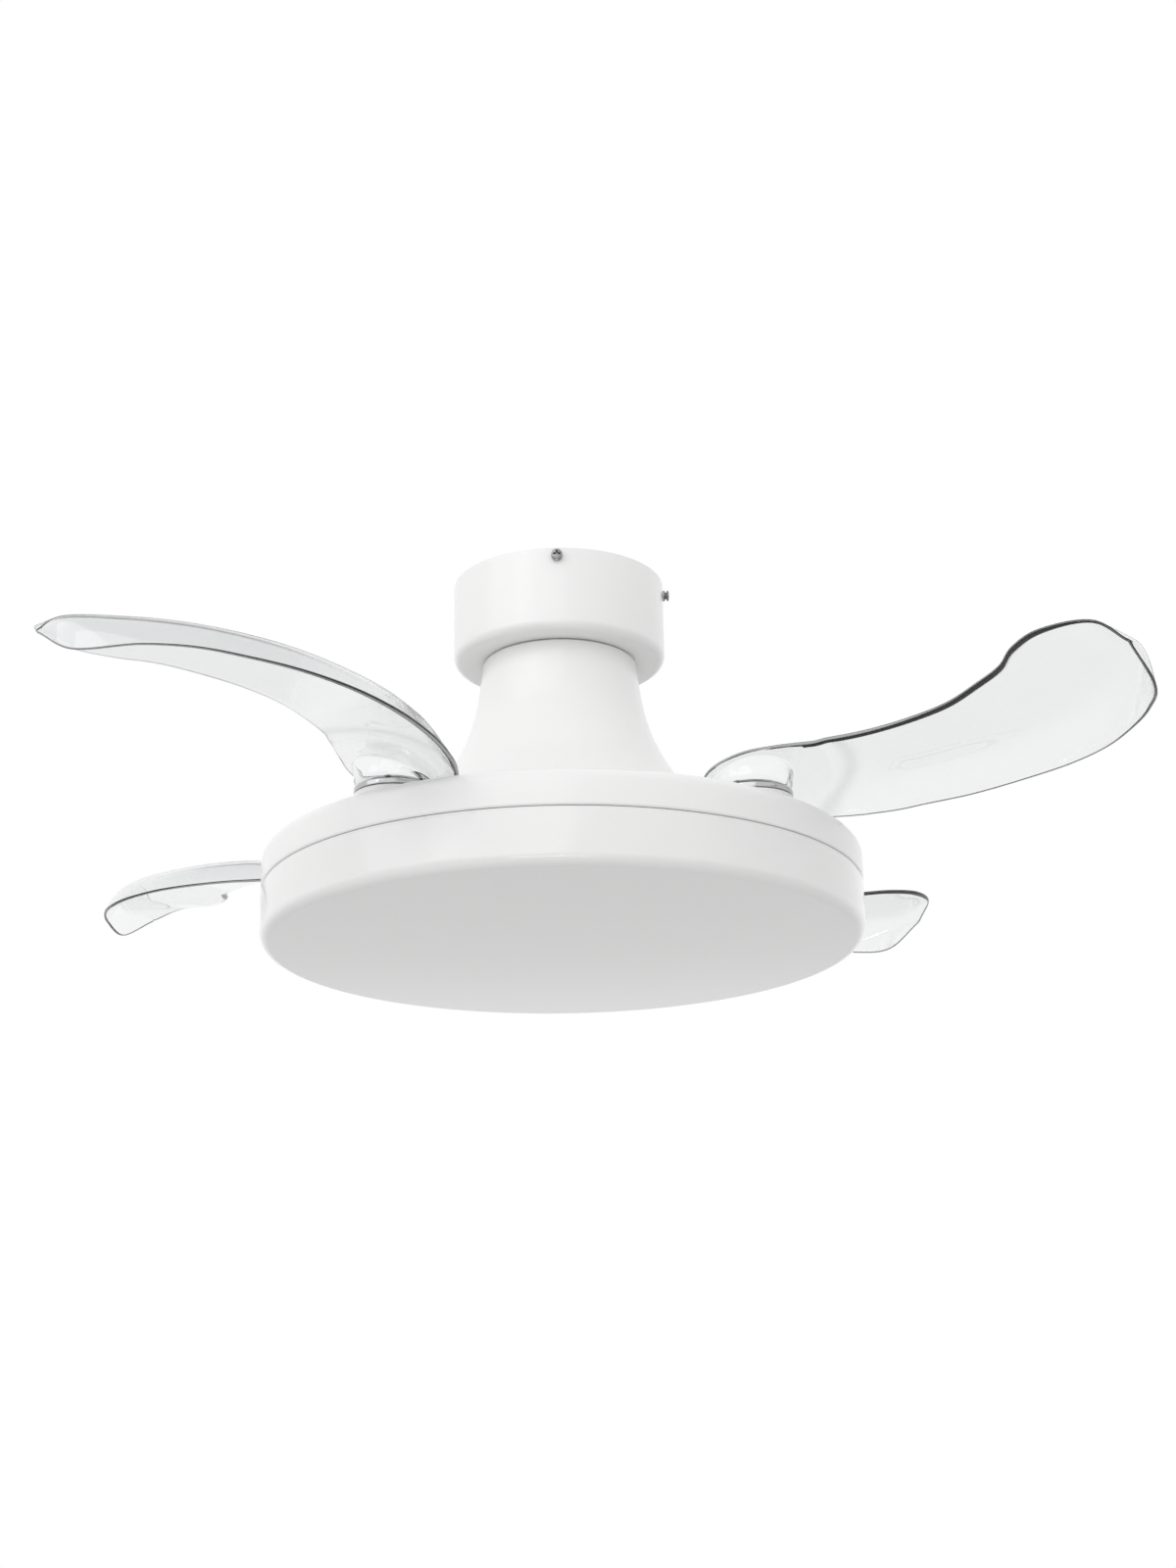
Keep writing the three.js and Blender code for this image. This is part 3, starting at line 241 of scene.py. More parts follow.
white_paint = finish(
    "white_paint",
    (0.865, 0.865, 0.86),
    0.3,
    grain=420,
    bump=0.01,
    stir=0.03,
    **{"Coat Weight": 0.5, "Coat Roughness": 0.12},
)
opal = finish(
    "opal_diffuser",
    (0.83, 0.83, 0.825),
    0.16,
    grain=180,
    bump=0.006,
    stir=0.02,
    **{"Coat Weight": 0.7, "Coat Roughness": 0.08},
)
chrome = finish("chrome", (0.5, 0.5, 0.505), 0.12, 1.0, grain=900, bump=0.01, stir=0.04)
# The screws' metal is set dark: partly their own metal, partly painted reflection of the dark room the real
# heads mirror.
zinc_screw = finish("zinc_screw", (0.3, 0.305, 0.31), 0.2, 1.0, grain=1500, bump=0.06)
finish("zinc_steel", (0.6, 0.61, 0.62), 0.36, 1.0, grain=240, bump=0.08, stir=0.1)
finish("dark_steel", (0.16, 0.165, 0.17), 0.5, 1.0, grain=500, bump=0.1, stir=0.08)
finish("copper", (0.62, 0.27, 0.12), 0.32, 1.0, grain=60, bump=0.5, stretch=(1, 1, 28))
finish("ferrite", (0.03, 0.03, 0.033), 0.7, grain=900, bump=0.2)
finish("bronze", (0.42, 0.27, 0.12), 0.42, 1.0, grain=1200, bump=0.2)
matt_edge = finish("matt_edge", (0.4, 0.405, 0.41), 0.4, grain=800, bump=0.05)
finish("gear_plastic", (0.78, 0.75, 0.66), 0.45, grain=500, bump=0.03)
finish("terminal_plastic", (0.74, 0.71, 0.62), 0.5, grain=700, bump=0.05)
finish("black_plastic", (0.02, 0.02, 0.022), 0.5, grain=1100, bump=0.15)
finish("board_white", (0.8, 0.82, 0.82), 0.42, grain=700, bump=0.03)
print("finishes:", len(finish_of))

# %% [markdown]
# The blades are clear polycarbonate. A clear sheet in an all-white room would vanish, since what it
# mirrors and what it lets through add up to white again. The real sheet shows because the plastic
# swallows a little light: hardly any straight through, but much of what runs along the sheet and leaves
# at a rim. So the material is glass-clear at its surface, and its volume absorbs.
# Two more things are added. Near the root, where the sheet was bent, its colour is mixed to a grey tint in
# a band: painted shade, standing in for the darker band that the bent clear sheet shows there. An attribute
# of the blade's points says where. And rays that only test for shadow pass straight through, because a
# refracting sheet would otherwise cast a shadow as dark as a solid one's.

# %% Make the clear plastic
CLEAR_INDEX = 1.58
CLEAR_DENSITY = 3.0
SWALLOWED = (0.2, 0.21, 0.22, 1)
# Painted shade: the grey that the blade's colour turns to in the band near its root.
CREASE_SHADE_TINT = (0.78, 0.785, 0.79, 1)
SHADOW_TINT = (0.9, 0.9, 0.9, 1)

clear = finish(
    "clear_blade",
    (0.915, 0.92, 0.925),
    0.012,
    grain=90,
    bump=0.003,
    stir=0.01,
    **{"Transmission Weight": 1.0, "IOR": CLEAR_INDEX},
)
tree = clear.node_tree
shader = tree.nodes["Principled BSDF"]
material_out = tree.nodes["Material Output"]
absorb = add_node(tree, "ShaderNodeVolumeAbsorption", {"Color": SWALLOWED, "Density": CLEAR_DENSITY})
link(tree, (absorb, "Volume", material_out, "Volume"))

# Painted shade: the blade's colour is mixed to the grey tint where the point attribute is high.
painted_crease_shade = add_node(tree, "ShaderNodeAttribute", attribute_name="painted_crease_shade")
crease_shade_mix = add_node(tree, "ShaderNodeMix", {"B": CREASE_SHADE_TINT}, data_type="RGBA")
grain = shader.inputs["Base Color"].links[0].from_node
link(
    tree,
    (grain, "Result", crease_shade_mix, "A"),
    (painted_crease_shade, "Fac", crease_shade_mix, "Factor"),
    (crease_shade_mix, "Result", shader, "Base Color"),
)

rays = add_node(tree, "ShaderNodeLightPath")
passing = add_node(tree, "ShaderNodeBsdfTransparent", {"Color": SHADOW_TINT})
choice = add_node(tree, "ShaderNodeMixShader")
link(
    tree,
    (rays, "Is Shadow Ray", choice, "Fac"),
    (shader, "BSDF", choice, 1),
    (passing, "BSDF", choice, 2),
    (choice, "Shader", material_out, "Surface"),
)
print("clear plastic density:", CLEAR_DENSITY, "per metre")

# %% [markdown]
# Every inner piece of the frame keeps its own shape and takes the finish of its slot: the motor, the
# gears, the springs, the bearings and the hanger. They show at the gaps and from above.

# %% Finish the inner pieces
for part in frame["record"]["subparts"]:
    for holder in nodes[part["node"]].material_slots:
        holder.material = finish_of[part["material_slot"]]

# %% [markdown]
# The covers of this fan are spun or moulded round one axis, so each is an outline turned about Z. The
# outline is a wire of points, radius and height. A Geometry Nodes tree turns it: it lays a grid with one
# row for each point of the wire, then swings each column of the grid round the axis. A Screw modifier
# would do the same, but the tree also closes the poles and sets the finish, and its inputs say what it
# needs: the wire, the number of segments and the finish.


# %% Build the turning tree
def new_tree(name, inputs):
    tree = bpy.data.node_groups.new(name, "GeometryNodeTree")
    tree.interface.new_socket(name="Geometry", in_out="INPUT", socket_type="NodeSocketGeometry")
    for label, kind in inputs.items():
        tree.interface.new_socket(name=label, in_out="INPUT", socket_type=kind)
    tree.interface.new_socket(name="Geometry", in_out="OUTPUT", socket_type="NodeSocketGeometry")
    return tree, tree.nodes.new("NodeGroupInput"), tree.nodes.new("NodeGroupOutput")


POLE_GAP = 1e-6
turning, given, result = new_tree(
    "turned_cover", {"Segments": "NodeSocketInt", "Finish": "NodeSocketMaterial"}
)
count = add_node(turning, "GeometryNodeAttributeDomainSize", component="MESH")
columns = add_node(turning, "ShaderNodeMath", {1: 1}, operation="ADD")
grid = add_node(turning, "GeometryNodeMeshGrid")
index = add_node(turning, "GeometryNodeInputIndex")
row = add_node(turning, "ShaderNodeMath", operation="DIVIDE")
whole_row = add_node(turning, "ShaderNodeMath", operation="FLOOR")
column = add_node(turning, "ShaderNodeMath", operation="MODULO")
share = add_node(turning, "ShaderNodeMath", operation="DIVIDE")
angle = add_node(turning, "ShaderNodeMath", {1: 2 * math.pi}, operation="MULTIPLY")
wire_place = add_node(turning, "GeometryNodeInputPosition")
sample = add_node(turning, "GeometryNodeSampleIndex", data_type="FLOAT_VECTOR", domain="POINT")
swing = add_node(turning, "ShaderNodeVectorRotate", rotation_type="Z_AXIS")
place_points = add_node(turning, "GeometryNodeSetPosition")
close = add_node(turning, "GeometryNodeMergeByDistance", {"Distance": POLE_GAP})
smooth = add_node(turning, "GeometryNodeSetShadeSmooth")
realize = add_node(turning, "GeometryNodeRealizeInstances")
paint = add_node(turning, "GeometryNodeSetMaterial")
link(
    turning,
    (given, "Geometry", count, "Geometry"),
    (given, "Segments", columns, 0),
    (count, "Point Count", grid, "Vertices X"),
    (columns, 0, grid, "Vertices Y"),
    (index, 0, row, 0),
    (columns, 0, row, 1),
    (row, 0, whole_row, 0),
    (index, 0, column, 0),
    (columns, 0, column, 1),
    (column, 0, share, 0),
    (given, "Segments", share, 1),
    (share, 0, angle, 0),
    (given, "Geometry", sample, "Geometry"),
    (wire_place, 0, sample, "Value"),
    (whole_row, 0, sample, "Index"),
    (sample, "Value", swing, "Vector"),
    (angle, 0, swing, "Angle"),
    (grid, "Mesh", place_points, "Geometry"),
    (swing, "Vector", place_points, "Position"),
    (place_points, "Geometry", close, "Geometry"),
    (close, "Geometry", smooth, "Geometry"),
    (smooth, "Geometry", realize, "Geometry"),
    (realize, "Geometry", paint, "Geometry"),
    (given, "Finish", paint, "Material"),
    (paint, "Geometry", result, "Geometry"),
)
print("turning tree nodes:", len(turning.nodes))


# %% [markdown]
# A tree is run by a modifier. Its inputs are set by the socket's identifier, then the evaluated object
# is copied to a plain mesh and the modifier goes, so that the piece no longer depends on the tree.
# Edges that turn more sharply than an angle are marked, so that a rim looks crisp beside a smooth wall.
# A closed shell may come out inside out. Its volume tells: it is below zero then, and the faces flip.


# %% Run a tree and keep its mesh
SHARP_EDGE = 35


def object_of(name, mesh):
    made = bpy.data.objects.new(name, mesh)
    bpy.context.scene.collection.objects.link(made)
    return made


def facing_out(mesh):
    shell = bmesh.new()
    shell.from_mesh(mesh)
    bmesh.ops.recalc_face_normals(shell, faces=shell.faces)
    if shell.calc_volume(signed=True) < 0:
        bmesh.ops.reverse_faces(shell, faces=shell.faces)
    shell.to_mesh(mesh)
    shell.free()


def grown(name, seed_mesh, tree, values, sharp=SHARP_EDGE):
    """Run a tree on a seed, and keep the result as a plain mesh with its sharp edges marked."""
    host = object_of(name + "_seed", seed_mesh)
    modifier = host.modifiers.new("tree", "NODES")
    modifier.node_group = tree
    for item in tree.interface.items_tree:
        if item.in_out == "INPUT" and item.name in values:
            modifier[item.identifier] = values[item.name]
    evaluated = host.evaluated_get(bpy.context.evaluated_depsgraph_get())
    mesh = bpy.data.meshes.new_from_object(evaluated)
    mesh.name = name
    bpy.data.objects.remove(host)
    facing_out(mesh)
    mesh.set_sharp_from_angle(angle=math.radians(sharp))
    return object_of(name, mesh)


print("edges count as sharp from", SHARP_EDGE, "degrees")

# %% [markdown]
# An outline is written as its corners: radius, height, and how round the corner is. A function swaps
# each corner for an arc. Thin edges get a small round too, because a real edge always catches light.


# %% Draw outlines
def rounded(corners, closed=True, steps=8):
    """The outline through the corners, each an arc of its own radius. A radius of 0 stays a corner."""
    points = []
    for i, (x, z, radius) in enumerate(corners):
        here = np.array([x, z], float)
        if radius == 0 or (not closed and i in (0, len(corners) - 1)):
            points.append(here)
            continue
        before = np.array(corners[i - 1][:2], float) - here
        after = np.array(corners[(i + 1) % len(corners)][:2], float) - here
        before /= np.linalg.norm(before)
        after /= np.linalg.norm(after)
        half = math.acos(max(-1.0, min(1.0, float(before @ after)))) / 2
        middle = here + (before + after) / np.linalg.norm(before + after) * radius / math.sin(half)
        start = here + before * radius / math.tan(half) - middle
        end = here + after * radius / math.tan(half) - middle
        sweep = math.pi - 2 * half
        for k in range(steps + 1):
            t = k / steps
            arc = (math.sin((1 - t) * sweep) * start + math.sin(t * sweep) * end) / math.sin(sweep)
            points.append(middle + arc)
    if closed:
        points.append(points[0])
    return points


def wire(name, points):
    mesh = bpy.data.meshes.new(name)
    edges = [(i, i + 1) for i in range(len(points) - 1)]
    mesh.from_pydata([(x * MM, 0, z * MM) for x, z in points], edges, [])
    return mesh


def turned(name, points, material, segments=192):
    piece = grown(name, wire(name, points), turning, {"Segments": segments, "Finish": material})
    print(name, "faces:", len(piece.data.polygons))
    return piece


def seed_of(piece):
    """The mesh of a piece that is only a seed for copies."""
    mesh = piece.data
    bpy.data.objects.remove(piece)
    return mesh


one_corner = rounded([(0, 0, 0), (9, 0, 2), (9, 9, 0)], closed=False)
print("points of one round corner:", len(one_corner) - 2)

# %% [markdown]
# The canopy is a spun steel cup that hides the ceiling bracket. Its lower corner is a soft round, and
# its floor has a hole for the neck. The wall is one sheet, so the outline runs down the outside and back
# up the inside.

# %% Turn the canopy
CANOPY_RADIUS = 90.5
CANOPY_DEPTH = 71.5
CANOPY_CORNER = 7.0
CANOPY_SHEET = 1.2
CANOPY_HOLE = 24
CEILING_GAP = 0.5
canopy = turned(
    "canopy_cover",
    rounded(
        [
            (CANOPY_RADIUS, -CEILING_GAP, 0.4),
            (CANOPY_RADIUS, -CANOPY_DEPTH, CANOPY_CORNER),
            (CANOPY_HOLE, -CANOPY_DEPTH, 0.4),
            (CANOPY_HOLE, -CANOPY_DEPTH + CANOPY_SHEET, 0.4),
            (CANOPY_RADIUS - CANOPY_SHEET, -CANOPY_DEPTH + CANOPY_SHEET, CANOPY_CORNER - CANOPY_SHEET),
            (CANOPY_RADIUS - CANOPY_SHEET, -CEILING_GAP, 0.4),
        ]
    ),
    white_paint,
)
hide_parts("canopy")
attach(canopy, "mounting")

# %% [markdown]
# The neck cover flares from just wider than the hanger to a wide skirt over the motor. Its side was
# measured at a few heights. The flare is a curve that passes through each of those points, where a NURBS
# curve would only come near them. The wall is the same curve moved in.


# %% Turn the neck cover
TINY = 1e-4


def curve_through(points, t):
    """A point of a smooth curve through all the points, t from 0 to 1. Uneven gaps don't make it loop."""
    points = [np.array(p, float) for p in points]
    last = len(points) - 1
    i = min(int(t * last), last - 1)
    w = t * last - i
    p1, p2 = points[i], points[i + 1]
    p0 = points[i - 1] if i > 0 else 2 * p1 - p2
    p3 = points[i + 2] if i + 2 <= last else 2 * p2 - p1
    d0, d1, d2 = (max(float(np.linalg.norm(b - a)) ** 0.5, TINY) for a, b in ((p0, p1), (p1, p2), (p2, p3)))
    m1 = ((p1 - p0) / d0 - (p2 - p0) / (d0 + d1) + (p2 - p1) / d1) * d1
    m2 = ((p2 - p1) / d1 - (p3 - p1) / (d1 + d2) + (p3 - p2) / d2) * d1
    return p1 + m1 * w + (3 * (p2 - p1) - 2 * m1 - m2) * w**2 + (2 * (p1 - p2) + m1 + m2) * w**3


NECK_TOP = -72.1
NECK_HOLE = 12.0
NECK_SHOULDER = 2.6
NECK_SHEET = 1.2
NECK_SIDE = [
    (66.2, -74.7),
    (68.5, -95),
    (72.8, -120),
    (80.8, -145),
    (93.1, -170),
    (109.8, -195),
    (127, -217),
    (146, -243),
]


def moved_in(points, wall):
    """The same line moved to its right by the wall."""
    points = [np.array(p, float) for p in points]
    moved = []
    for i, point in enumerate(points):
        along = points[min(i + 1, len(points) - 1)] - points[max(i - 1, 0)]
        along /= np.linalg.norm(along)
        moved.append(point + wall * np.array([along[1], -along[0]]))
    return moved


def shoulder_point(degrees):
    """A point of the round between the neck's top and its side."""
    turn = math.radians(degrees)
    inward, down = NECK_SHOULDER * (1 - math.sin(turn)), NECK_SHOULDER * (1 - math.cos(turn))
    return np.array([NECK_SIDE[0][0] - inward, NECK_TOP - down])


flare = [curve_through(NECK_SIDE, t) for t in np.linspace(0, 1, 61)]
neck_skin = [np.array([NECK_HOLE, NECK_TOP])] + [shoulder_point(a) for a in range(0, 90, 10)] + flare
neck_outline = neck_skin + moved_in(neck_skin, NECK_SHEET)[::-1] + [neck_skin[0]]
neck = turned("neck_flare", neck_outline, white_paint)
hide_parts("neck_cover")
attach(neck, "mounting")

# %% [markdown]
# The tray carries the motor, the fold gears and the blades, and turns with them. From outside it is a
# white pan, upside down: a flat top, a wide round edge and a skirt whose lower edge curls in. The curl
# leaves the dark line above the lamp.

# %% Turn the tray
BODY_RADIUS = 250.0
TRAY_TOP = -246.0
TRAY_FOOT = -276.7
TRAY_CORNER = 10.0
TRAY_SHEET = 1.2
TRAY_LIP = 2.0
TRAY_BORE = 63.9
tray = turned(
    "tray_shell",
    rounded(
        [
            (TRAY_BORE, TRAY_TOP, 0.4),
            (BODY_RADIUS, TRAY_TOP, TRAY_CORNER),
            (BODY_RADIUS, TRAY_FOOT, TRAY_LIP),
            (BODY_RADIUS - TRAY_LIP - 1.5, TRAY_FOOT, 0.3),
            (BODY_RADIUS - TRAY_LIP - 1.5, TRAY_FOOT + TRAY_SHEET, 0.3),
            (BODY_RADIUS - TRAY_SHEET, TRAY_FOOT + TRAY_SHEET, 0.8),
            (BODY_RADIUS - TRAY_SHEET, TRAY_TOP - TRAY_SHEET, TRAY_CORNER - TRAY_SHEET),
            (TRAY_BORE, TRAY_TOP - TRAY_SHEET, 0.4),
        ]
    ),
    white_paint,
    segments=256,
)
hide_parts("carrier_tray")
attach(tray, "rotor")

# %% [markdown]
# The lamp's cover is an opal bowl as wide as the tray. It is moulded in one piece with a soft lower
# corner, which shows a light line where it mirrors the low lamp. A thin ledge on its rim stands up behind
# the seam, so that the gap to the turning tray is a soft line and not a black slot. The outline starts
# and ends on the axis.

# %% Turn the diffuser
DIFFUSER_TOP = -279.3
DIFFUSER_FLOOR = -322.0
DIFFUSER_WALL = 2.5
DIFFUSER_CORNER = 9.0
SEAM_LEDGE = 2.1
SEAM_DEPTH = 1.3
diffuser = turned(
    "lamp_diffuser",
    rounded(
        [
            (0, DIFFUSER_FLOOR + DIFFUSER_WALL, 0),
            (BODY_RADIUS - DIFFUSER_WALL, DIFFUSER_FLOOR + DIFFUSER_WALL, DIFFUSER_CORNER - DIFFUSER_WALL),
            (BODY_RADIUS - DIFFUSER_WALL, DIFFUSER_TOP + SEAM_LEDGE, 0.3),
            (BODY_RADIUS - SEAM_DEPTH, DIFFUSER_TOP + SEAM_LEDGE, 0.3),
            (BODY_RADIUS - SEAM_DEPTH, DIFFUSER_TOP, 0.3),
            (BODY_RADIUS, DIFFUSER_TOP, 0.7),
            (BODY_RADIUS, DIFFUSER_FLOOR, DIFFUSER_CORNER),
            (0, DIFFUSER_FLOOR, 0),
        ],
        closed=False,
        steps=10,
    ),
    opal,
    segments=256,
)
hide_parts("diffuser")
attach(diffuser, "mounting")

# %% [markdown]
# Screws repeat, so a second tree sets them. Its seed is one screw at the origin, and it puts a copy at
# each step round a circle, turned to face its own way. Instances would be lost on export, so the tree
# ends by making them real.

# %% Build the screw tree
setting, given, result = new_tree(
    "screws_round_a_circle",
    {
        "Count": "NodeSocketInt",
        "First angle": "NodeSocketFloat",
        "Step": "NodeSocketFloat",
        "Circle": "NodeSocketFloat",
        "Centre": "NodeSocketVector",
        "Finish": "NodeSocketMaterial",
    },
)
points = add_node(setting, "GeometryNodePoints")
index = add_node(setting, "GeometryNodeInputIndex")
steps_round = add_node(setting, "ShaderNodeMath", operation="MULTIPLY")
angle = add_node(setting, "ShaderNodeMath", operation="ADD")
out_along_x = add_node(setting, "ShaderNodeCombineXYZ")
swing = add_node(setting, "ShaderNodeVectorRotate", rotation_type="Z_AXIS")
shift = add_node(setting, "ShaderNodeVectorMath", operation="ADD")
place_points = add_node(setting, "GeometryNodeSetPosition")
turn = add_node(setting, "ShaderNodeCombineXYZ")
facing = add_node(setting, "FunctionNodeEulerToRotation")
copies = add_node(setting, "GeometryNodeInstanceOnPoints")
realize = add_node(setting, "GeometryNodeRealizeInstances")
paint = add_node(setting, "GeometryNodeSetMaterial")
link(
    setting,
    (given, "Count", points, "Count"),
    (index, 0, steps_round, 0),
    (given, "Step", steps_round, 1),
    (steps_round, 0, angle, 0),
    (given, "First angle", angle, 1),
    (given, "Circle", out_along_x, "X"),
    (out_along_x, 0, swing, "Vector"),
    (angle, 0, swing, "Angle"),
    (swing, "Vector", shift, 0),
    (given, "Centre", shift, 1),
    (points, 0, place_points, "Geometry"),
    (shift, 0, place_points, "Position"),
    (angle, 0, turn, "Z"),
    (turn, 0, facing, 0),
    (place_points, "Geometry", copies, "Points"),
    (given, "Geometry", copies, "Instance"),
    (facing, 0, copies, "Rotation"),
    (copies, "Instances", realize, "Geometry"),
    (realize, "Geometry", paint, "Geometry"),
    (given, "Finish", paint, "Material"),
    (paint, "Geometry", result, "Geometry"),
)
print("screw tree nodes:", len(setting.nodes))


# %% [markdown]
# A screw is turned too: a shank, a head and a shallow dome, cut by a cross. The cross is two crossed
# wedges, and a Boolean modifier takes them out of the head. The screw stands along +Z. The ones at the
# canopy lie on their sides, so their seed is tipped to point along +X.


# %% Make a cross-head screw
CROSS_WIDTH, CROSS_LENGTH = 0.2, 0.74  # shares of the head's radius, each way from the middle
CROSS_DEPTH = 0.7  # a share of the head's height
CROSS_TOP = 1.2  # the wedges start this high, clear of the head
CROSS_TAPER = 0.62
SQUARE = ((-1, -1), (1, -1), (1, 1), (-1, 1))


def cross_mesh(name, head_radius, head_height):
    """Two wedges that cross, to be cut out of a screw's head."""
    length, width = head_radius * CROSS_LENGTH, head_radius * CROSS_WIDTH
    levels = ((head_height * CROSS_TOP, 1.0), (head_height * (1 - CROSS_DEPTH), CROSS_TAPER))
    points, faces = [], []
    for a, b in ((length, width), (width, length)):
        base = len(points)
        for z, share in levels:
            points += [(x * a * share * MM, y * b * share * MM, z * MM) for x, y in SQUARE]
        sides = [(i, i + 4, (i + 1) % 4 + 4, (i + 1) % 4) for i in range(4)]
        faces += [tuple(base + k for k in face) for face in ((0, 1, 2, 3), (7, 6, 5, 4), *sides)]
    mesh = bpy.data.meshes.new(name)
    mesh.from_pydata(points, [], faces)
    facing_out(mesh)
    return mesh


def screw_mesh(name, head, head_radius, head_height, shank_radius, shank_length, lying=False):
    """A screw whose head is given as corners: shares of its radius and height, and a rounding."""
    shank = [(0, -shank_length, 0), (shank_radius, -shank_length, 0.2), (shank_radius, 0, 0)]
    corners = [(r * head_radius, z * head_height, rounding) for r, z, rounding in head]
    profile = rounded(shank + corners, closed=False, steps=4)
    screw = turned(name, profile, zinc_screw, segments=40)
    tool = object_of(name + "_tool", cross_mesh(name + "_cross", head_radius, head_height))
    recess = screw.modifiers.new("cross", "BOOLEAN")
    recess.operation = "DIFFERENCE"
    recess.solver = "EXACT"
    recess.use_self = True
    recess.object = tool
    evaluated = screw.evaluated_get(bpy.context.evaluated_depsgraph_get())
    mesh = bpy.data.meshes.new_from_object(evaluated)
    bpy.data.objects.remove(tool)
    bpy.data.objects.remove(screw)
    if lying:
        mesh.transform(Matrix.Rotation(math.radians(90), 4, "Y"))
    return mesh


PAN_HEAD = [(1, 0, 0.2), (1, 0.5, 0.5), (0.6, 0.97, 0.6), (0, 1, 0)]
WAISTED_HEAD = [
    (1, 0, 0.2),
    (1, 0.22, 0.3),
    (0.62, 0.36, 0.4),
    (0.62, 0.5, 0.4),
    (1, 0.62, 0.3),
    (0.9, 0.9, 0.6),
    (0, 1, 0),
]
print("corners of a screw's head:", len(PAN_HEAD), "or", len(WAISTED_HEAD))

# %% [markdown]
# Under each blade the tray is pressed up into a round step, which lifts the blade's hub over the tray's
# edge. The screw tree sets the four steps too, because it only needs a seed and a circle.

# %% Set the steps on the tray
SPINDLE_CIRCLE = 199.5
BLADE_AZIMUTHS = {"a": -40, "b": 50, "c": 140, "d": 230}
STEP_HEIGHT = 9.7
STEP_RADIUS = 32.0
STEP_HOLE = 10
STEP_OVERLAP = 0.3  # how far the step's foot reaches into the tray's sheet from below
step_outline = rounded(
    [
        (STEP_HOLE, TRAY_TOP + STEP_HEIGHT, 0.2),
        (STEP_RADIUS, TRAY_TOP + STEP_HEIGHT, 2.0),
        (STEP_RADIUS + 1.5, TRAY_TOP, 1.5),
        (STEP_RADIUS + 5, TRAY_TOP, 0.1),
        (STEP_RADIUS + 5, TRAY_TOP - TRAY_SHEET + STEP_OVERLAP, 0.1),
        (STEP_RADIUS + 0.3, TRAY_TOP - TRAY_SHEET + STEP_OVERLAP, 1.0),
        (STEP_RADIUS - 1.2, TRAY_TOP + STEP_HEIGHT - TRAY_SHEET, 0.8),
        (STEP_HOLE, TRAY_TOP + STEP_HEIGHT - TRAY_SHEET, 0.2),
    ]
)
steps_on_tray = grown(
    "hub_steps",
    seed_of(turned("hub_step_seed", step_outline, white_paint, segments=96)),
    setting,
    {
        "Count": len(BLADE_AZIMUTHS),
        "First angle": math.radians(BLADE_AZIMUTHS["a"]),
        "Step": math.radians(90),
        "Circle": SPINDLE_CIRCLE * MM,
        "Centre": (0, 0, 0),
        "Finish": white_paint,
    },
)
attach(steps_on_tray, "rotor")
print("hub steps:", len(steps_on_tray.data.polygons), "faces")

# %% [markdown]
# Three screws hold the canopy to the bracket's tabs: front, right and back. They lie radially, with
# their heads against the canopy's side.

# %% Set the canopy's screws
CANOPY_SCREW_DROP = 8.0
CANOPY_SCREW_GAP = 0.3
canopy_screw_seed = screw_mesh(
    "canopy_screw_seed",
    WAISTED_HEAD,
    head_radius=4.8,
    head_height=5.4,
    shank_radius=2.0,
    shank_length=12,
    lying=True,
)
canopy_screws = grown(
    "canopy_screws",
    canopy_screw_seed,
    setting,
    {
        "Count": 3,
        "First angle": math.radians(-90),
        "Step": math.radians(90),
        "Circle": (CANOPY_RADIUS + CANOPY_SCREW_GAP) * MM,
        "Centre": (0, 0, -CANOPY_SCREW_DROP * MM),
        "Finish": zinc_screw,
    },
)
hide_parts("canopy_screw_front", "canopy_screw_right", "canopy_screw_back")
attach(canopy_screws, "mounting")
print("canopy screws:", len(canopy_screws.data.polygons), "faces")

# %% [markdown]
# A blade is one moulding: a long curved sheet whose root is drawn down into a round cup. Its plan is
# two edge curves, one hollow and one bowed, and its height falls from the hollow edge to the bowed one,
# most of it in a lip along the bowed edge. Near the spindle the sheet steps down to a flat root.
# Any point of the sheet is found by two numbers: how far along the blade, and how far across it. The
# edges were measured in the photograph, where each of the four blades shows them from another side.

# %% Shape of the blade's sheet
EDGE_STATIONS = [
    # hollow edge x, y, height; bowed edge x, y, height
    (-39, -4, 23, -48, 0, 28),
    (-30, -25, 26, -48, 16, 22),
    (-11, -38, 31, -36, 38, 17),
    (15, -35, 38, -10, 60, 14),
    (41, -20, 42, 23, 87, 12),
    (72, -1, 44, 62, 108, 13),
    (103, 10, 46, 88, 116.5, 15),
    (136, 16, 49, 124, 125.5, 17),
    (173, 14, 52, 170, 129, 20),
    (206, 3, 56, 216, 125, 22),
    (234, -10, 59, 254, 113, 24),
    (257, -30, 62, 285, 95, 27),
    (286, -42, 64, 312, 70, 28),
    (324, -30, 64, 338, 29, 28),
    (338.5, -10.5, 51.5, 339.8, -8, 49.5),
]
HOLLOW_EDGE = [station[:3] for station in EDGE_STATIONS]
BOWED_EDGE = [station[3:] for station in EDGE_STATIONS]
LIP_SHARPNESS = 12
LIP_SHARE = 0.75
LIP_START, LIP_FULL = 0.14, 0.43  # shares of the blade's length
CREASE_RADIUS = 68
CREASE_WIDTH = 11
CREASE_STEP = 1.5


def ease(value, low, high):
    """0 below the low end and 1 above the high one, with a smooth climb between."""
    t = min(1.0, max(0.0, (value - low) / (high - low)))
    return t * t * (3 - 2 * t)


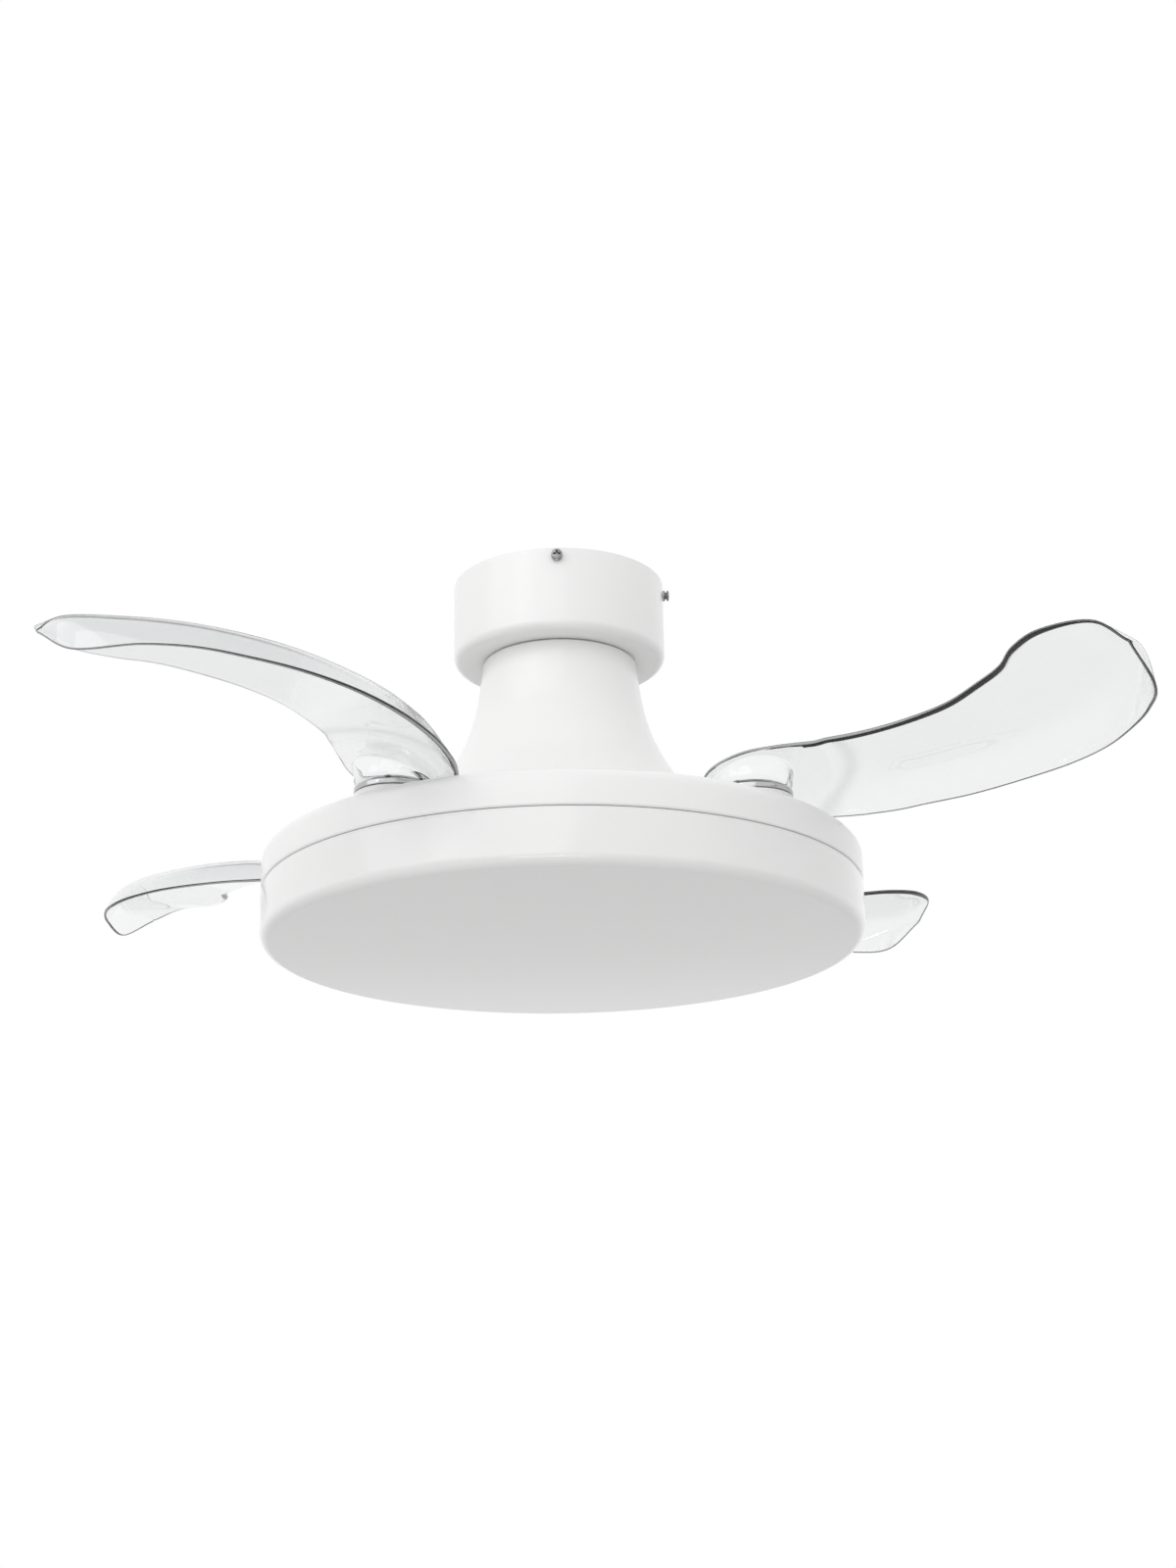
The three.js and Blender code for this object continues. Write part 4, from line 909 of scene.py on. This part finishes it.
def sheet_point(along, across):
    """The sheet's point: along runs from root to tip, across from the hollow edge to the bowed one."""
    start, end = curve_through(HOLLOW_EDGE, along), curve_through(BOWED_EDGE, along)
    curl = LIP_SHARE * ease(along, LIP_START, LIP_FULL)
    fall = (1 - curl) * across + curl * across**LIP_SHARPNESS
    x, y = start[:2] + (end[:2] - start[:2]) * across
    half = CREASE_WIDTH / 2
    root = 1 - ease(math.hypot(x, y), CREASE_RADIUS - half, CREASE_RADIUS + half)
    return np.array([x, y, start[2] + (end[2] - start[2]) * fall - CREASE_STEP * root])


SEARCH_END = 0.6
SEARCH_ROUNDS = 30


def find_on_sheet(x, y, guess):
    """The two numbers of the sheet point over x, y: a guess is mended by the sheet's slopes there."""
    along, across = guess
    for _ in range(SEARCH_ROUNDS):
        here = sheet_point(along, across)[:2]
        miss = np.array([x, y]) - here
        if np.linalg.norm(miss) < TINY:
            break
        by_along = (sheet_point(along + TINY, across)[:2] - here) / TINY
        by_across = (sheet_point(along, across + TINY)[:2] - here) / TINY
        step = np.linalg.solve(np.column_stack([by_along, by_across]), miss)
        along = min(SEARCH_END, max(0.0, along + float(step[0])))
        across = min(1.0, max(0.0, across + float(step[1])))
    return along, across


blade_reach = max(x for x, _y, _z in HOLLOW_EDGE) + SPINDLE_CIRCLE
print("blade reach along its own line:", round(blade_reach), "mm from the axis")

# %% [markdown]
# The cup is where the sheet meets the hub. It is drawn down out of the sheet, so its brim has no fixed
# height: at each bearing round the spindle the brim lies where the cup's side, carried up, comes to the
# sheet. A few rounds of guess and check find that place. From there a line runs over the brim, down the
# side, round the bottom corner and in towards the middle of the floor.

# %% Find the cup's brim and its inner side
CUP_BRIM = 4.2
CUP_WALL = 2.8
CUP_FOOT = 14.9  # over the tray's top
CUP_CORNER = 3.5
CUP_SIDE = ((38, 30), (32, 16.5), (31.4, 3))  # outer radius and height of a curve's three handles
BRIM_STEPS = 6
WALL_STEPS = 10
CORNER_STEPS = 5
FLOOR_SHARES = (0.75, 0.5, 0.25)
FIRST_PLACE = (2.7 / 14, 0.45)
FIRST_RADIUS = 39.0
BRIM_ROUNDS = 4


def cup_radius(height):
    """The cup's inner radius at a height over the tray."""
    t = np.linspace(0, 1, 60)
    high, middle, low = CUP_SIDE
    outer = (1 - t) ** 2 * high[0] + 2 * t * (1 - t) * middle[0] + t**2 * low[0]
    level = CUP_FOOT + (1 - t) ** 2 * high[1] + 2 * t * (1 - t) * middle[1] + t**2 * low[1]
    return float(np.interp(height, level[::-1], outer[::-1])) - CUP_WALL


def brim_at(bearing):
    """The brim's place on the sheet at a bearing, with its radius and its height."""
    radius, place = FIRST_RADIUS, FIRST_PLACE
    for _ in range(BRIM_ROUNDS):
        place = find_on_sheet(radius * math.cos(bearing), radius * math.sin(bearing), place)
        height = sheet_point(*place)[2]
        radius = cup_radius(height - CUP_BRIM) + CUP_BRIM
    return place, radius, height


def cup_profile(radius, height):
    """Radius and height of the points from the brim to near the middle of the cup's floor."""
    low = CUP_FOOT + CUP_WALL + CUP_CORNER
    foot = cup_radius(low)
    profile = []
    for k in range(1, BRIM_STEPS + 1):
        turn = math.radians(90 * k / BRIM_STEPS)
        profile.append((radius - CUP_BRIM * math.sin(turn), height - CUP_BRIM * (1 - math.cos(turn))))
    for k in range(1, WALL_STEPS + 1):
        t = k / WALL_STEPS
        z = (height - CUP_BRIM) * (1 - t) + low * t
        profile.append((cup_radius(z), z))
    for k in range(1, CORNER_STEPS + 1):
        turn = math.radians(90 * k / CORNER_STEPS)
        profile.append((foot - CUP_CORNER * (1 - math.cos(turn)), low - CUP_CORNER * math.sin(turn)))
    return profile + [((foot - CUP_CORNER) * share, low - CUP_CORNER) for share in FLOOR_SHARES]


print("cup's brim over the tray, at its outer side:", round(float(brim_at(0.0)[2]), 1), "mm")

# %% [markdown]
# The blade's mesh flows in rings round the cup: from the outline of the root in to the brim, and on down
# the cup's inner side. From the outer side of the root a plain grid runs on to the tip. Both share the
# points of one line across the blade, so the skin has no seam and the light runs clean over the brim.

# %% Lay out the blade's upper skin
ROOT_SHARE = 4.5 / 14
ROWS = 96
COLUMNS = 28
SIDE_POINTS = 30
END_POINTS = 4
ROOT_RINGS = 12
CROWDING = 1.6


def across_at(j):
    """Columns crowd towards the bowed edge, where the lip bends."""
    return 1 - (1 - j / COLUMNS) ** CROWDING


def root_outline():
    """The root's outline on the sheet, from the shared line's bowed end round to its hollow end."""
    loop = [(ROOT_SHARE, across_at(j)) for j in range(COLUMNS + 1)]
    loop += [(ROOT_SHARE * (1 - k / SIDE_POINTS), 1.0) for k in range(1, SIDE_POINTS + 1)]
    loop += [(0.0, 1 - k / END_POINTS) for k in range(1, END_POINTS)]
    return loop + [(ROOT_SHARE * k / SIDE_POINTS, 0.0) for k in range(SIDE_POINTS)]


def upper_skin():
    """Points, faces, rim and shares of the upper skin. A share is 0 at the tip and 1 at the root."""
    vertices, faces, shares = [], [], []

    def put(point, share=1.0):
        vertices.append(np.array(point, float))
        shares.append(share)
        return len(vertices) - 1

    strip = []
    for i in range(ROWS + 1):
        along = ROOT_SHARE + (1 - ROOT_SHARE) * i / ROWS
        strip.append([put(sheet_point(along, across_at(j)), 1 - i / ROWS) for j in range(COLUMNS + 1)])
    for near, far in zip(strip, strip[1:]):
        faces += [(near[j], far[j], far[j + 1], near[j + 1]) for j in range(COLUMNS)]

    loop = root_outline()
    outer = strip[0] + [put(sheet_point(*place)) for place in loop[COLUMNS + 1 :]]
    bearings = [math.atan2(vertices[index][1], vertices[index][0]) for index in outer]
    brims = [brim_at(bearing) for bearing in bearings]

    rings = [outer]
    start, end = np.array(loop), np.array([place for place, _radius, _height in brims])
    for k in range(1, ROOT_RINGS + 1):
        rings.append([put(sheet_point(*place)) for place in start + (end - start) * k / ROOT_RINGS])
    profiles = [cup_profile(radius, height) for _place, radius, height in brims]
    for level in zip(*profiles):
        rings.append([put((r * math.cos(b), r * math.sin(b), z)) for (r, z), b in zip(level, bearings)])
    middle = put((0, 0, profiles[0][-1][1]))

    size = len(outer)
    for near, far in zip(rings, rings[1:]):
        faces += [(near[k], near[(k + 1) % size], far[(k + 1) % size], far[k]) for k in range(size)]
    faces += [(rings[-1][k], rings[-1][(k + 1) % size], middle) for k in range(size)]

    rim = [strip[i][COLUMNS] for i in range(ROWS, 0, -1)]
    rim += outer[COLUMNS:]
    rim += [row[0] for row in strip]
    rim += strip[ROWS][1:COLUMNS]
    return np.array(vertices), faces, rim, np.array(shares)


upper, skin_faces, rim, shares = upper_skin()
print("points of the upper skin:", len(upper), "of them on the rim:", len(rim))

# %% [markdown]
# The wall is thick at the root, thin at the tip and even in the cup. The change is spread over the faces
# between, because a jump in the wall would show in clear plastic like a lens.
# Each point's normal is the mean of its faces' normals, large faces counting for more.

# %% Measure the walls and the normals
ROOT_WALL = 3.8
TIP_WALL = 1.9
CUP_REACH = 40
SMOOTHING_ROUNDS = 12


def skin_walls():
    walls = TIP_WALL + (ROOT_WALL - TIP_WALL) * shares
    in_cup = np.hypot(upper[:, 0], upper[:, 1]) < CUP_REACH
    walls[in_cup] = CUP_WALL
    for _ in range(SMOOTHING_ROUNDS):
        sums, counts = np.zeros(len(upper)), np.zeros(len(upper))
        for face in skin_faces:
            total = sum(walls[m] for m in face)
            for k in face:
                sums[k] += total
                counts[k] += len(face)
        walls = np.where(in_cup, walls, sums / counts)
    return walls


def skin_normals():
    normals = np.zeros_like(upper)
    for face in skin_faces:
        a, b, c = (upper[k] for k in face[:3])
        normal = np.cross(c - a, upper[face[3]] - b) if len(face) == 4 else np.cross(b - a, c - a)
        for k in face:
            normals[k] += normal
    normals /= np.linalg.norm(normals, axis=1, keepdims=True)
    return normals if normals[:, 2].sum() > 0 else -normals


walls, normals = skin_walls(), skin_normals()
lower = upper - walls[:, None] * normals
print("walls:", round(float(walls.min()), 2), "to", round(float(walls.max()), 2), "mm")

# %% [markdown]
# A Solidify modifier would give the skin its wall, but it leaves a square rim. Here each point of the
# skin gets a partner, one wall below it along its own normal, and the rim between the two skins is
# bulged into a small round. The rim is what catches the eye on a clear sheet, so it has to be round.

# %% Close the blade's skin
RIM_ROUND = 0.9
RIM_STEPS = 5
# Painted shade: the band where the blade's colour turns grey lies this far from the spindle, on the tip's
# side.
CREASE_SHADE_RADIUS = 78
CREASE_SHADE_WIDTH = 6


def rim_frame(i):
    """The middle of the wall at a point of the rim, and the way out from it."""
    forward = upper[rim[(i + 1) % len(rim)]] - upper[rim[i - 1]]
    outward = np.cross(forward, normals[rim[i]])
    return (upper[rim[i]] + lower[rim[i]]) / 2, outward / np.linalg.norm(outward)


def closed_mesh(name, points, faces):
    mesh = bpy.data.meshes.new(name)
    mesh.from_pydata([tuple(point * MM) for point in points], [], faces)
    mesh.polygons.foreach_set("use_smooth", [True] * len(mesh.polygons))
    facing_out(mesh)
    return mesh


def blade_mesh():
    count, size = len(upper), len(rim)
    vertices = list(upper) + list(lower)
    shell = skin_faces + [tuple(k + count for k in reversed(face)) for face in skin_faces]
    bands = [list(rim)]
    for step in range(1, RIM_STEPS):
        turn = math.pi * step / RIM_STEPS
        bands.append(range(len(vertices), len(vertices) + size))
        for i, k in enumerate(rim):
            middle, outward = rim_frame(i)
            rise = normals[k] * walls[k] / 2 * math.cos(turn)
            vertices.append(middle + rise + outward * RIM_ROUND * math.sin(turn))
    bands.append([k + count for k in rim])
    for near, far in zip(bands, bands[1:]):
        shell += [(near[i], near[(i + 1) % size], far[(i + 1) % size], far[i]) for i in range(size)]
    mesh = closed_mesh("blade_skin", vertices, shell)
    # Painted shade: each point gets how strongly the blade's colour turns grey there.
    painted_crease_shade = mesh.attributes.new("painted_crease_shade", "FLOAT", "POINT")
    for vertex, value in zip(mesh.vertices, painted_crease_shade.data):
        off = (math.hypot(vertex.co.x, vertex.co.y) / MM - CREASE_SHADE_RADIUS) / CREASE_SHADE_WIDTH
        value.value = math.exp(-(off**2)) if vertex.co.x > 0 else 0.0
    return mesh


blade_seed = blade_mesh()
print("blade faces:", len(blade_seed.polygons))

# %% [markdown]
# The edge of a cut or moulded clear sheet is never as clear as its faces. Near the root, where the wall
# is thick, the real edge shows as a matt grey band between two dark lines. A thin matt bead inside the
# rim gives that band. It thins out to a thread towards the tip, where the real edge is only dark.

# %% Lay the matt bead along the rim
BEAD_SIDES = 8
BEAD_MIDDLE = 0.5
BEAD_HALF_WIDTH = 0.65
BEAD_AT_TIP, BEAD_GAIN = 0.1, 0.5  # shares of the half wall
BEAD_START, BEAD_FULL = 0.55, 0.85


def bead_mesh():
    points, faces = [], []
    for i, k in enumerate(rim):
        middle, outward = rim_frame(i)
        half_height = walls[k] / 2 * (BEAD_AT_TIP + BEAD_GAIN * ease(shares[k], BEAD_START, BEAD_FULL))
        ahead = (i + 1) % len(rim) * BEAD_SIDES
        for m in range(BEAD_SIDES):
            turn = 2 * math.pi * m / BEAD_SIDES
            out = BEAD_MIDDLE + BEAD_HALF_WIDTH * math.cos(turn)
            points.append(middle + outward * out + normals[k] * half_height * math.sin(turn))
            n = (m + 1) % BEAD_SIDES
            faces.append((i * BEAD_SIDES + m, i * BEAD_SIDES + n, ahead + n, ahead + m))
    return closed_mesh("blade_edge", points, faces)


edge_seed = bead_mesh()
print("bead faces:", len(edge_seed.polygons))

# %% [markdown]
# The same moulding serves all four blades, so one mesh is made and four copies are put in place. Each
# stands on a bright turned hub, with three screws through the cup's floor.

# %% Set the blades, their hubs and their screws
HUB_RADIUS = 31.8
HUB_FOOT = 10.0
HUB_TOP = 14.6
CUP_SCREWS = 3
CUP_SCREW_FIRST = 30
CUP_SCREW_CIRCLE = 20
CUP_SCREW_LIFT = 0.05
hub_outline = rounded(
    [(0, HUB_FOOT, 0), (HUB_RADIUS, HUB_FOOT, 0.7), (HUB_RADIUS, HUB_TOP, 1.0), (0, HUB_TOP, 0)],
    closed=False,
    steps=6,
)
cup_screw_seed = screw_mesh(
    "cup_screw_seed", PAN_HEAD, head_radius=2.8, head_height=1.9, shank_radius=1.5, shank_length=3.4
)
for letter, azimuth in BLADE_AZIMUTHS.items():
    turn = math.radians(azimuth)
    spindle = Vector((SPINDLE_CIRCLE * math.cos(turn), SPINDLE_CIRCLE * math.sin(turn), TRAY_TOP)) * MM
    place = Matrix.Translation(spindle) @ Matrix.Rotation(turn, 4, "Z")
    mesh = blade_seed.copy()
    mesh.transform(place)
    mesh.materials.append(clear)
    blade = object_of(f"clear_blade_{letter}", mesh)
    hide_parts(f"blade_{letter}")
    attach(blade, f"blade_{letter}_arm")
    edge_mesh = edge_seed.copy()
    edge_mesh.transform(place)
    edge_mesh.materials.append(matt_edge)
    edge = object_of(f"blade_edge_{letter}", edge_mesh)
    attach(edge, f"blade_{letter}_arm")
    hub = turned(f"hub_disc_{letter}", hub_outline, chrome, segments=96)
    hub.data.transform(Matrix.Translation(spindle))
    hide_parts(f"blade_hub_{letter}")
    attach(hub, f"blade_{letter}_arm")
    screws = grown(
        f"cup_screws_{letter}",
        cup_screw_seed.copy(),
        setting,
        {
            "Count": CUP_SCREWS,
            "First angle": turn + math.radians(CUP_SCREW_FIRST),
            "Step": math.radians(360 / CUP_SCREWS),
            "Circle": CUP_SCREW_CIRCLE * MM,
            "Centre": tuple(spindle + Vector((0, 0, (CUP_FOOT + CUP_WALL + CUP_SCREW_LIFT) * MM))),
            "Finish": zinc_screw,
        },
    )
    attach(screws, f"blade_{letter}_arm")
print("blades:", len(BLADE_AZIMUTHS))

# %% [markdown]
# The floor is plain and pale, and well below the fan. It sends a softer light up to the lamp's face.
# Its colour is painted paler far out: painted light, standing in for the brighter far floor of a lit studio,
# and the glossy lamp cover mirrors that as a slow rise in tone. It is part of the studio and not of the fan.

# %% Lay the floor
FLOOR_DROP = 2.4
FLOOR_TONE = 0.7
FLOOR_HALF = 40.0
PAINTED_LIGHT_FROM = 4.0
PAINTED_LIGHT_TO = 16.0

floor_mesh = bpy.data.meshes.new("floor")
corners = [(x * FLOOR_HALF, y * FLOOR_HALF, -FLOOR_DROP) for x, y in SQUARE]
floor_mesh.from_pydata(corners, [], [(0, 1, 2, 3)])
floor_finish = finish("floor", (FLOOR_TONE, FLOOR_TONE, FLOOR_TONE), 0.8, grain=4, bump=0.0)
tree = floor_finish.node_tree
shader = tree.nodes["Principled BSDF"]
grain = shader.inputs["Base Color"].links[0].from_node
# Painted light: the floor's colour is mixed to white further from the middle.
place = add_node(tree, "ShaderNodeTexCoord")
from_middle = add_node(tree, "ShaderNodeVectorMath", operation="LENGTH")
painted_light_ramp = add_node(
    tree, "ShaderNodeMapRange", {"From Min": PAINTED_LIGHT_FROM, "From Max": PAINTED_LIGHT_TO}, interpolation_type="SMOOTHSTEP"
)
painted_light_mix = add_node(tree, "ShaderNodeMix", {"B": WHITE}, data_type="RGBA")
link(
    tree,
    (grain, "Result", painted_light_mix, "A"),
    (place, "Object", from_middle, 0),
    (from_middle, "Value", painted_light_ramp, "Value"),
    (painted_light_ramp, "Result", painted_light_mix, "Factor"),
    (painted_light_mix, "Result", shader, "Base Color"),
)
floor_mesh.materials.append(floor_finish)
floor = object_of("floor", floor_mesh)
print("floor:", FLOOR_DROP, "m below the ceiling")
